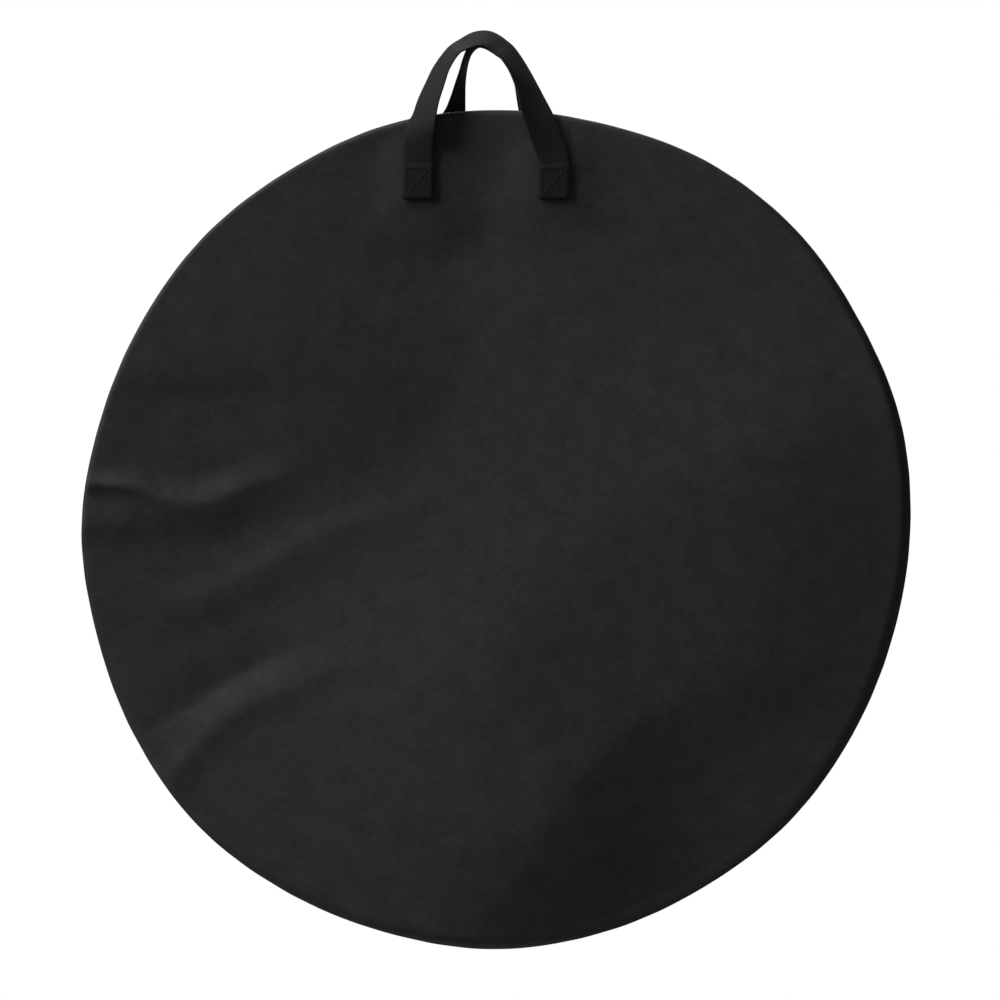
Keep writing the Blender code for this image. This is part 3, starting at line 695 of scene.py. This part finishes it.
def foam_material():
    """Closed-cell foam sheet: pale grey with fine pores."""
    n = Nodes("grey_foam", (0.55, 0.55, 0.53), 0.95, Specular_IOR_Level=0.2)
    pores = n.add("TexVoronoi", {"feature": "DISTANCE_TO_EDGE"}, Vector=n.place(900), Scale=1.0)
    cells = pores.outputs["Distance"]
    # Painted shade: the tint follows the cells' height, so the foam is darker in the sunken grooves between
    # its cells.
    n.tint((0.44, 0.44, 0.42), (0.62, 0.62, 0.60), n.remap(cells, 0.0, 0.35, 0, 1))
    n.bump(cells, 0.0003, 0.7)
    return n.material


def thread_material():
    """Twisted black polyester sewing thread."""
    n = Nodes("black_thread", (0.012, 0.012, 0.012), 0.62, Specular_IOR_Level=0.12)
    fibres = n.noise(n.place(4200), 3.0, 0.6)
    n.tint((0.0070, 0.0070, 0.0070), (0.0140, 0.0140, 0.0140), n.remap(fibres, 0.35, 0.65, 0, 1))
    n.bump(fibres, 0.0001, 0.8)
    return n.material


def coil_material():
    """Drawn nylon of the zip's coils: smooth, dark, slightly waxy."""
    n = Nodes("black_nylon_coil", (0.010, 0.010, 0.010), 0.36, Specular_IOR_Level=0.5)
    drawn = n.noise(n.place(2500), 2.0)
    n.tint((0.007, 0.007, 0.007), (0.016, 0.016, 0.0165), drawn)
    n.shade(Roughness=n.remap(drawn, 0.3, 0.7, 0.28, 0.46))
    n.bump(drawn, 0.00004, 0.5)
    return n.material


def metal_material():
    """Black enamelled zinc whose edges are worn to bare grey metal."""
    n = Nodes("black_enamelled_zinc", (0.012, 0.012, 0.0125), 0.32, Specular_IOR_Level=0.5)
    edge = n.remap(n.add("NewGeometry").outputs["Pointiness"], 0.56, 0.66, 0, 1)
    chips = n.noise(n.place(1400), 5.0, 0.7)
    bare = n.math("MULTIPLY", edge, n.remap(chips, 0.48, 0.60, 0, 1), clamp=True)
    n.tint((0.012, 0.012, 0.0125), (0.30, 0.29, 0.28), bare)
    n.shade(Metallic=bare, Roughness=n.remap(chips, 0.3, 0.7, 0.26, 0.42))
    n.bump(chips, 0.00003, 0.5)
    return n.material


FINISHES = {
    "shell_fabric": fabric_material(),
    "webbing": webbing_material(),
    "binding": tape_material("black_ribbed_binding", (0.014, 0.014, 0.014), 0.0011),
    "zip_tape": tape_material("black_zip_tape", (0.012, 0.012, 0.012), 0.0007),
    "lining": lining_material(),
    "padding_foam": foam_material(),
    "thread": thread_material(),
    "zip_coil": coil_material(),
    "slider_metal": metal_material(),
}


# Panels


def panel_sheet(name, side, depth, steps, rings=0, tucked=False):
    """A whole panel layer whose outer face lies that deep under the panel's face. With rings it turns over
    at the rim, and without them it ends short of it, as the foam does."""
    grid = disc_grid(steps)
    angle = np.arctan2(grid[..., 1], grid[..., 0])
    flat_edge = rim_radius(angle) - (shoulder(angle) if rings else FOAM_INSET)
    xz = grid * flat_edge[..., None]
    out = face_out(xz, side) - depth
    if rings and not tucked:
        near_rim = smooth(1 - (1 - np.linalg.norm(grid, axis=-1)) * flat_edge / RIM_ZONE)
        out = out + near_rim * np.clip(seam_out(angle) + ABOVE_SEAM - out, 0, depth - UNDER_CLOTH)
    points = [stacked(xz[..., 0], out, xz[..., 1]).reshape(-1, 3)]
    uv = [xz.reshape(-1, 2)]
    loop = edge_loop(steps)
    edge_angle, edge_out, edge_radius = angle.ravel()[loop], out.ravel()[loop], flat_edge.ravel()[loop]
    seam, turned = seam_out(edge_angle), shoulder(edge_angle)
    sections = []
    for turn in np.linspace(0, pi / 2, rings + 1)[1:]:
        reach = (turned - depth) * sin(turn)
        sections.append((edge_radius + reach, seam + (edge_out - seam) * cos(turn)))
    if tucked:
        sections += [(edge_radius + turned - inward, seam - under) for inward, under in TUCK]
    for radius, height in sections:
        flat = flat_round(edge_angle, radius)
        points.append(stacked(flat[:, 0], height, flat[:, 1]))
        uv.append(flat + unit(flat) * np.abs(edge_out - height)[:, None])
    faces = [grid_faces(steps + 1, steps + 1)]
    inner = loop
    for ring in range(len(sections)):
        outer = (steps + 1) ** 2 + ring * len(loop) + np.arange(len(loop))
        faces.append(np.stack([inner, np.roll(inner, -1), np.roll(outer, -1), outer], 1))
        inner = outer
    points = np.concatenate(points)
    points[:, 1] = MID_Y + side * points[:, 1]
    faces = np.concatenate([turned_alike(points, part) for part in faces])
    return new_mesh(name, points, faces, np.concatenate(uv))


def make_panel(word, side):
    """A panel's outer cloth, foam and lining."""

    def finish(sheet, thickness, slot, layer):
        halves = ("upper", "lower") if side == FRONT else ("panel",)
        nodes = [f"{word}_{layer}_{half}" for half in halves]
        finish_piece(thicken(sheet, thickness), slot, nodes, **BENDS[side])

    cloth = panel_sheet(f"{word}_cloth", side, 0.0, PANEL_STEPS[word], SHOULDER_RINGS, tucked=True)
    finish(cloth, CLOTH, "shell_fabric", "outer")
    foam = panel_sheet(f"{word}_foam", side, FOAM_DEPTH, LAYER_STEPS)
    finish(foam, FOAM, "padding_foam", "foam")
    lining = panel_sheet(f"{word}_inner_lining", side, LINING_DEPTH, LAYER_STEPS, LINING_RINGS)
    finish(lining, LINING, "lining", "lining")


# Rings: the side wall, the zip's bands and tapes, and the bindings


def ring_sheet(name, angle, rows):
    """A sheet round the rim over those angles. Each row is a radius and a distance from the middle plane."""
    sections = np.array([round_rim(angle, radius, out) for radius, out in rows])
    uv = stacked(run_lengths(sections[:, 0])[:, None], BAG_RADIUS * angle)
    return new_mesh(name, sections, turned_alike(sections, grid_faces(len(rows), len(angle))), uv)


def wall_radius(share, angle, wrinkle=0.0):
    """Radius of the side wall's outer face: share 0 at a rim seam, 1 in its valley."""
    rim = rim_radius(angle) - WALL_INSET
    waves = np.sin(43 * angle + 0.7) * np.sin(29 * angle) + 0.6 * np.sin(97 * angle + 2 * np.sin(9 * angle))
    return rim + (VALLEY_RADIUS - rim) * smooth(share) + wrinkle * sin(pi * share) * waves


def wall_out(share, angle):
    """Distance of that face from the middle plane, at the same share."""
    start = seam_out(angle) - WALL_START
    return start + (BAND_EDGE_OUT - start) * share


def wall_rows(angle, side, wrinkle):
    """Rows of the side wall's cloth from its seam allowance in to its valley."""
    rows = [(rim_radius(angle) - inset, side * (seam_out(angle) - under)) for inset, under in ALLOWANCE]
    return rows + [(wall_radius(s, angle, wrinkle), side * wall_out(s, angle)) for s in WALL_SHARES]


def make_side_wall():
    """The lower side wall of cloth, and its lining."""
    angle = np.linspace(pi, tau, RING_STEPS + 1)
    rows = wall_rows(angle, FRONT, WALL_WRINKLE)
    rows += [(wall_radius(1.0, angle), out) for out in (-WALL_FLAT, 0.0, WALL_FLAT)]
    rows += wall_rows(angle, REAR, WALL_WRINKLE)[::-1]
    wall = ring_sheet("side_cloth", angle, rows)
    finish_piece(thicken(wall, CLOTH), "shell_fabric", ["lower_gusset"])
    angle = angle[::2]
    rows = [(share, FRONT * out) for share, out in WALL_LINING_ROWS] + [(1.0, 0.0)]
    rows += [(share, REAR * out) for share, out in WALL_LINING_ROWS[::-1]]
    rows = [(wall_radius(share, angle) - WALL_LINING_DEPTH, out) for share, out in rows]
    lining = ring_sheet("side_lining", angle, rows)
    finish_piece(thicken(lining, LINING), "lining", ["lower_gusset_lining"])


def make_zip_side(word, side):
    """One side of the zip: its cloth band with a folded edge, its tape and its coil."""
    angle = np.linspace(0, pi, RING_STEPS + 1)
    rows = wall_rows(angle, side, BAND_WRINKLE)
    rows += [(VALLEY_RADIUS - under, side * (BAND_EDGE_OUT - inward)) for under, inward in BAND_HEM]
    band = ring_sheet(f"{word}_band", angle, rows)
    finish_piece(thicken(band, CLOTH), "shell_fabric", [f"{word}_zip_band"], **BENDS[side])
    rows = [(TAPE_RADIUS, side * out) for out in np.linspace(TAPE_OUT, TAPE_MEETS, 6)]
    tape = ring_sheet(f"{word}_tape", angle, rows)
    finish_piece(thicken(tape, TAPE), "zip_tape", [f"{word}_zip_tape"], **BENDS[side])
    coil = new_mesh(f"{word}_coil", *coil_body(side))
    finish_piece(coil, "zip_coil", [f"{word}_zip_coil"], **BENDS[side])


def coil_body(side):
    """The coil as one long spring of nylon, half a turn out of step with the other side's."""
    length = (pi - 2 * COIL_END) * COIL_MIDDLE_RADIUS
    loops = int(length / COIL_PITCH)
    t = np.linspace(0, loops, loops * 10 + 1)
    angle = COIL_END + t * COIL_PITCH / COIL_MIDDLE_RADIUS
    phase = tau * t + (pi if side == REAR else 0)
    out = side * (COIL_MIDDLE_OUT + COIL_REACH * np.cos(phase))
    path = round_rim(angle, COIL_MIDDLE_RADIUS + COIL_RISE * np.sin(phase), out)
    return tube(path, COIL_THREAD, 5, stacked(-np.sin(angle), 0, np.cos(angle)))


def make_binding(word, side):
    """Ribbed tape folded over the seam allowance, just inside the rim."""
    angle = np.linspace(0, tau, RING_STEPS + 1)[:-1]
    middle = rim_radius(angle) - BINDING_INSET
    level = face_out(flat_round(angle, middle), side) - BINDING_DEPTH
    ripple = BINDING_RIPPLE * np.sin(53 * angle) * np.sin(17 * angle)
    outline = rounded_outline(BINDING_WIDTH, BINDING_HEIGHT, BINDING_CORNER, 4).reshape(-1, 2)
    outline = np.append(outline, outline[:1], 0)
    points = round_rim(angle, middle + outline[:, :1] + ripple, side * (level + outline[:, 1:]))
    uv = stacked(run_lengths(points[:, 0])[:, None], middle * angle)
    faces = turned_alike(points, grid_faces(len(outline), len(angle), closed=True))
    binding = new_mesh(f"{word}_binding", points, faces, uv)
    weld(binding)
    halves = ("_upper", "_lower") if side == FRONT else ("",)
    finish_piece(binding, "binding", [f"{word}_seam_binding{half}" for half in halves], **BENDS[side])


def rounded_outline(width, height, corner, steps):
    """Points round a rectangle with rounded corners, about its middle, a row for each corner."""
    turn = pi / 2 * (np.arange(4)[:, None] + np.arange(steps + 1) / steps)
    signs = np.array([(1, 1), (-1, 1), (-1, -1), (1, -1)])[:, None]
    return signs * (width / 2 - corner, height / 2 - corner) + corner * stacked(np.cos(turn), np.sin(turn))


# Stitching


def sew(name, lines, stitch, nodes=(), body="shell", **bend):
    """One piece of stitches, of a (pitch, gap), along lines of point and outward direction stations."""
    pitch, gap = stitch
    shares = (STITCH_SHARES * (pitch - gap) + gap / 2) / pitch
    bodies = []
    for points, outward in lines:
        lengths = run_lengths(points)
        count = max(1, round(lengths[-1] / pitch))
        for i in range(count):
            at = (i + shares) * lengths[-1] / count
            place, up = (stacked(*(np.interp(at, lengths, row) for row in v.T)) for v in (points, outward))
            path = place + up * STITCH_RISE[:, None]
            bodies.append(tube(path, STITCH_SWELL * THREAD, 6, up, THREAD_WIDTH))
    finish_piece(joined(name, bodies), "thread", nodes, body, **bend)


def seam_lines(low, high, steps, place, outward, crossed=False):
    """Stations of a box of stitch lines from its low to its high corner, and of a cross in it where that is
    asked. place turns flat coordinates into points."""
    corners = [low, (high[0], low[1]), high, (low[0], high[1])]
    ways = list(zip(corners, corners[1:] + corners[:1]))
    if crossed:
        ways += [corners[::2], corners[1::2]]
    lines = [place(*np.linspace(start, end, steps).T) for start, end in ways]
    return [(points, np.tile(outward, (steps, 1))) for points in lines]


def make_band_stitching(word, side):
    """A row of stitches beside the folded edge of a zip band."""
    angle = np.linspace(BAND_STITCH_END, pi - BAND_STITCH_END, RING_STEPS + 1)
    radius = wall_radius(BAND_STITCH_SHARE, angle, BAND_WRINKLE) + BAND_STITCH_ABOVE
    points = round_rim(angle, radius, side * wall_out(BAND_STITCH_SHARE, angle))
    outward = stacked(np.cos(angle), 0, np.sin(angle))
    sew(f"{word}_band_stitches", [(points, outward)], BAND_STITCH, **BENDS[side])


# Handles


def loop_line(stations, side):
    """Middle points and across directions of a loop's webbing."""
    route = smooth_line(stations, 7)
    flat = from_photo(route[:, :2])
    points = stacked(flat[:, 0], MID_Y + side * route[:, 2] * LOOP_PLANE_OUT, flat[:, 1])
    ahead = unit(np.gradient(points, axis=0))
    ahead[0], ahead[-1] = (0, 0, 1), (0, 0, -1)
    outward = unit(stacked(-ahead[:, 2], 0, ahead[:, 0]))
    turn = np.radians(route[:, 3])[:, None]
    across = outward * np.cos(turn) - np.array([0, side, 0]) * np.sin(turn)
    return points, unit(across - ahead * (across * ahead).sum(1, keepdims=True))


def sewn_line(hand, side):
    """Middle points of a sewn end, from its turned-under tip round the fold and up to the loop's foot."""
    x = HANDLE_SHIFT + hand * HANDLE_SPAN / 2
    inner, outer = SEWN_BACK_OUT + WEBBING / 2, SEWN_FACE_OUT - WEBBING / 2
    bend, middle = (outer - inner) / 2, (outer + inner) / 2
    low = HANDLE_FOOT + WEBBING / 2 + bend
    high = HANDLE_FOOT + HANDLE_END_HEIGHT
    route = [(inner, z) for z in np.linspace(high - TIP_SHORT, low, 8)]
    route += [(middle - bend * cos(a), low - bend * sin(a)) for a in np.linspace(0, pi, 9)[1:-1]]
    route += [(outer, z) for z in np.linspace(low, high, 10)]
    return np.array([(x, MID_Y + side * out, z) for out, z in route])


def webbing_crown(across):
    """How far the webbing's face bulges, at those places across it."""
    return WEBBING_CROWN * (1 - (2 * across / WEBBING_WIDTH) ** 2)


def webbing_outline():
    """Points round the webbing's section, with its two wide faces divided, and the first point once more."""
    corners = rounded_outline(WEBBING_WIDTH, WEBBING, WEBBING_CORNER, 3)
    edges = []
    for corner, following in zip(corners, np.roll(corners, -1, 0)):
        a, b = corner[-1], following[0]
        edges.append(corner)
        if abs(a[0] - b[0]) > WEBBING:
            edges.append(a + (b - a) * np.linspace(0, 1, 8)[1:-1, None])
    outline = np.concatenate(edges)
    outline[:, 1] += webbing_crown(outline[:, 0]) * np.sign(outline[:, 1])
    return np.append(outline, outline[:1], 0)


def make_strap(word, side, stations, body):
    """One webbing strap: two sewn ends with the tips turned under, and the free loop between them."""
    loop, across = loop_line(stations, side)
    left, right = sewn_line(LEFT, side), sewn_line(RIGHT, side)[::-1]
    path = np.concatenate([left, loop, right])
    sides = [np.tile((hand, 0.0, 0.0), (len(end), 1)) for hand, end in ((LEFT, left), (RIGHT, right))]
    sideways = np.concatenate([sides[0], across, sides[1]])
    normal = unit(np.cross(unit(np.gradient(path, axis=0)), sideways))
    outline = webbing_outline()
    sections = path[:, None] + sideways[:, None] * outline[:, :1] + normal[:, None] * outline[:, 1:]
    lengths = run_lengths(path)
    uv = stacked(outline[:, 0], lengths[:, None]).reshape(-1, 2)
    points, faces = swept(sections, closed=False)
    strap = new_mesh(f"{word}_strap", points, faces, np.concatenate([uv, [(0, 0), (0, lengths[-1])]]))
    weld(strap)
    nodes = [f"{word}_handle_{part}" for part in ("left_end", "right_end", "loop")]
    finish_piece(strap, "webbing", nodes, body, f"{word}_handle", STRAP_BEND)


def make_box_stitching(word, side, hand_word, hand, body):
    """A box of stitches with a cross in it, on the face of a sewn end."""
    middle = HANDLE_SHIFT + hand * HANDLE_SPAN / 2
    low = (middle - BOX_HALF_WIDTH, HANDLE_FOOT + BOX_LOW)
    high = (middle + BOX_HALF_WIDTH, HANDLE_FOOT + HANDLE_END_HEIGHT - BOX_HIGH)

    def place(x, z):
        out = SEWN_FACE_OUT + webbing_crown(x - middle) + BOX_STITCH_ABOVE
        return stacked(x, MID_Y + side * out, z)

    lines = seam_lines(low, high, 12, place, (0.0, side, 0.0), crossed=True)
    sew(f"{word}_{hand_word}_thread", lines, BOX_STITCH, [f"{word}_{hand_word}_stitching"], body)


# End tabs of the zip


def make_end_tab(word, hand):
    """A folded patch of cloth sewn over an end of the zip."""
    z, y = np.linspace(TAB_LOW, TAB_HIGH, 18)[:, None], np.linspace(-TAB_HALF_WIDTH, TAB_HALF_WIDTH, 14)
    to_edge = np.minimum(np.minimum(z - TAB_LOW, TAB_HIGH - z), TAB_HALF_WIDTH - np.abs(y))
    swell = TAB_SWELL * np.sin(np.clip(to_edge / TAB_EDGE, 0, 1) * pi / 2)
    flat = stacked(y, z)
    radius = TAB_RADIUS + swell + TAB_UNEVEN * wander(flat, TAB_UNEVEN_SIZE, TAB_SEED + hand)
    points = stacked(hand * radius, MID_Y + y, z)
    tab = new_mesh(f"{word}_end_tab", points, turned_alike(points, grid_faces(*radius.shape)), flat)
    finish_piece(thicken(tab, TAB_THICKNESS), "shell_fabric", [f"{word}_zip_end_tab"])
    soft = tab.modifiers.new("soft_edges", "BEVEL")
    soft.width = TAB_SOFT_EDGE
    soft.limit_method = "ANGLE"

    low = (-TAB_HALF_WIDTH + TAB_STITCH_INSET, TAB_LOW + TAB_STITCH_INSET)
    high = (TAB_HALF_WIDTH - TAB_STITCH_INSET, TAB_HIGH - TAB_STITCH_INSET)

    def place(y, z):
        return stacked(hand * TAB_STITCH_RADIUS, MID_Y + y, z)

    sew(f"{word}_end_tab_stitches", seam_lines(low, high, 8, place, (hand, 0.0, 0.0)), BOX_STITCH)


# Sliders


def plate(outlines, thickness, height, bevel=0.00018):
    """A flat metal plate with rounded edges, from closed outlines in XY, lying at that height."""
    curve = bpy.data.curves.new("plate", "CURVE")
    curve.dimensions = "2D"
    curve.fill_mode = "BOTH"
    curve.extrude = thickness / 2 - bevel
    curve.bevel_depth = bevel
    curve.bevel_resolution = 2
    curve.offset = -bevel
    for points in outlines:
        spline = curve.splines.new("POLY")
        spline.points.add(len(points) - 1)
        for point, (x, y) in zip(spline.points, points):
            point.co = (x, y, 0, 1)
        spline.use_cyclic_u = True
    obj = new_object("plate", curve)
    mesh = evaluated_mesh(obj)
    points = np.array([v.co for v in mesh.vertices]) + (0, 0, height)
    faces = [list(p.vertices) for p in mesh.polygons]
    bpy.data.objects.remove(obj)
    return points, faces


def round_corners(points, radius):
    """A closed outline with each corner rounded."""
    made = []
    count = len(points)
    for i in range(count):
        before, at, after = (np.array(points[(i + k) % count], float) for k in (-1, 0, 1))
        one, two = before - at, after - at
        reach = min(radius, np.linalg.norm(one) / 2.2, np.linalg.norm(two) / 2.2)
        a, b = at + unit(one) * reach, at + unit(two) * reach
        for t in np.linspace(0, 1, 5):
            made.append(tuple((1 - t) ** 2 * a + 2 * t * (1 - t) * at + t * t * b))
    return made


def shape(half, way, corner):
    """A closed outline with rounded corners, from its half with y above 0. A way of -1 turns x over."""
    whole = [(x, -y) for x, y in half] + half[::-1]
    return round_corners([(way * x, y) for x, y in whole], corner)


def fit_on_rim(name, bodies, hand, body, node):
    """One metal piece of bodies modelled at the top of the rim, turned to its slider's place there."""
    obj = joined(name, bodies)
    angle = hand * SLIDER_ALONG / BAG_RADIUS
    x, y, z = np.array([v.co for v in obj.data.vertices]).T
    moved = stacked(x * cos(angle) + z * sin(angle), y + MID_Y, z * cos(angle) - x * sin(angle))
    obj.data.vertices.foreach_set("co", moved.astype(np.float32).ravel())
    obj.data.set_sharp_from_angle(angle=SHARP)
    obj.data.update()
    finish_piece(obj, "slider_metal", [node], body)


def make_slider(word, hand):
    """A slider with flanged plates, its neck between the coils and a bridge."""
    bodies = []
    for half_length, nose, tail, radius in SLIDER_PLATES:
        front = [(half_length, nose * 0.62), (half_length * 0.80, nose)]
        half = [*front, (-half_length * 0.2, nose), (-half_length, tail)]
        bodies.append(plate([shape(half, -hand, PLATE_CORNER)], METAL, radius))
    bodies.append(plate([shape([(0.0028, 0.0004), (0.0056, 0.0010)], -hand, 0.0004)], *NECK))
    for edge in (-1, 1):
        inner, outer, front, back = edge * 0.0038, edge * 0.0047, -hand * 0.0046, hand * 0.0012
        flange = [(front, inner), (front, outer), (back, outer), (back, inner)]
        bodies.append(plate([round_corners(flange, 0.0003)], *FLANGE, 0.00012))
    arch = [*BRIDGE, *((-x, z) for x, z in BRIDGE[-2::-1])]
    path = smooth_line([(x, 0.0, z) for x, z in arch], 3)
    bodies += [tube(path + (0, y, 0), BRIDGE_THICKNESS, 10, (0, 1.0, 0)) for y in BRIDGE_ROWS]
    fit_on_rim(f"{word}_slider_body", bodies, hand, f"{word}_zip_slider", f"{word}_slider")


def make_pull(word, hand):
    """A slider's pull: two arms round the bridge, and a flat with ribs for grip and a hole near its end."""
    outer = shape([(-0.00045, 0.0028), (0.0205, 0.0028), (0.0240, 0.0022)], hand, PLATE_CORNER)
    gap = shape([(0.00045, 0.0015), (0.0043, 0.0015)], hand, 0.0003)
    turns = np.linspace(0, tau, 21)[:-1]
    hole = [(hand * (PULL_HOLE_PLACE + PULL_HOLE * cos(a)), PULL_HOLE * sin(a)) for a in turns]
    bodies = [plate([outer, gap, hole], METAL, PULL_RADIUS)]
    for x in PULL_RIBS:
        rib = shape([(x, 0.0019), (x + 0.0007, 0.0019)], hand, 0.0003)
        bodies.append(plate([rib], *RIB, 0.0001))
    fit_on_rim(f"{word}_pull_plate", bodies, hand, f"{word}_zip_pull", f"{word}_pull")


# Stage


def make_stage():
    """The camera, the lamps, the white surroundings and a pale floor well below the hanging bag."""
    camera = new_object("camera", bpy.data.cameras.new("camera"))
    camera.data.lens, camera.data.sensor_width = LENS, SENSOR
    middle_x, middle_z = (PHOTO_SIZE / 2 - np.array(PHOTO_MIDDLE)) * (PHOTO_SCALE, -PHOTO_SCALE)
    camera.location = (middle_x, CAMERA_PLANE - PHOTO_SIZE * PHOTO_SCALE * LENS / SENSOR, middle_z)
    camera.rotation_euler = (pi / 2, 0, 0)
    bpy.context.scene.camera = camera

    for name, place, size, power in LAMPS:
        lamp = bpy.data.lights.new(name, "AREA")
        lamp.shape, lamp.energy = "RECTANGLE", power
        lamp.size, lamp.size_y = size
        obj = new_object(name, lamp)
        obj.location = place
        obj.rotation_euler = (Vector((0, MID_Y, 0)) - Vector(place)).to_track_quat("-Z", "Y").to_euler()

    world = bpy.data.worlds.new("studio")
    world.use_nodes = True
    bpy.context.scene.world = world
    tree = world.node_tree
    rays = add_node(tree, "LightPath").outputs
    seen = {"in_0": rays["Is Camera Ray"], "in_1": rays["Is Transmission Ray"]}
    seen = add_node(tree, "Math", {"operation": "MAXIMUM"}, **seen).outputs[0]
    strength = add_node(tree, "MapRange", Value=seen, To_Min=ROOM_LIGHT, To_Max=1.0)
    plug(tree.nodes["Background"], "Strength", strength.outputs["Result"])
    plug(tree.nodes["Background"], "Color", (1, 1, 1, 1))

    place = (0, MID_Y, FLOOR_LEVEL)
    bpy.ops.mesh.primitive_circle_add(vertices=96, radius=FLOOR_RADIUS, fill_type="NGON", location=place)
    floor = bpy.context.object
    floor.name = "floor"
    n = Nodes("pale_floor", (0.60, 0.60, 0.60), 0.9)
    from_middle = n.add("VectorMath", {"operation": "LENGTH"}, in_0=n.place()).outputs["Value"]
    fade = n.remap(from_middle, *FLOOR_FADE, 0.0, 1.0)
    see_through = n.add("BsdfTransparent").outputs[0]
    mix = n.add("MixShader", Fac=fade, in_1=n.shader.outputs[0], in_2=see_through)
    plug(n.tree.nodes["Material Output"], "Surface", mix.outputs[0])
    floor.data.materials.append(n.material)


def main():
    bpy.context.scene.view_settings.view_transform = "Standard"
    make_stage()
    sides = (("front", FRONT), ("rear", REAR))
    for word, side in sides:
        make_panel(word, side)
    make_side_wall()
    for word, side in sides:
        make_zip_side(word, side)
        make_band_stitching(word, side)
        make_binding(word, side)
    for word, hand in (("left", LEFT), ("right", RIGHT)):
        make_end_tab(word, hand)
        make_slider(word, hand)
        make_pull(word, hand)
        make_box_stitching("front", FRONT, word, hand, "front_flap")
        make_box_stitching("rear", REAR, word, hand, "shell")
    make_strap("front", FRONT, FRONT_LOOP, "front_flap")
    make_strap("rear", REAR, REAR_LOOP, "shell")


main()
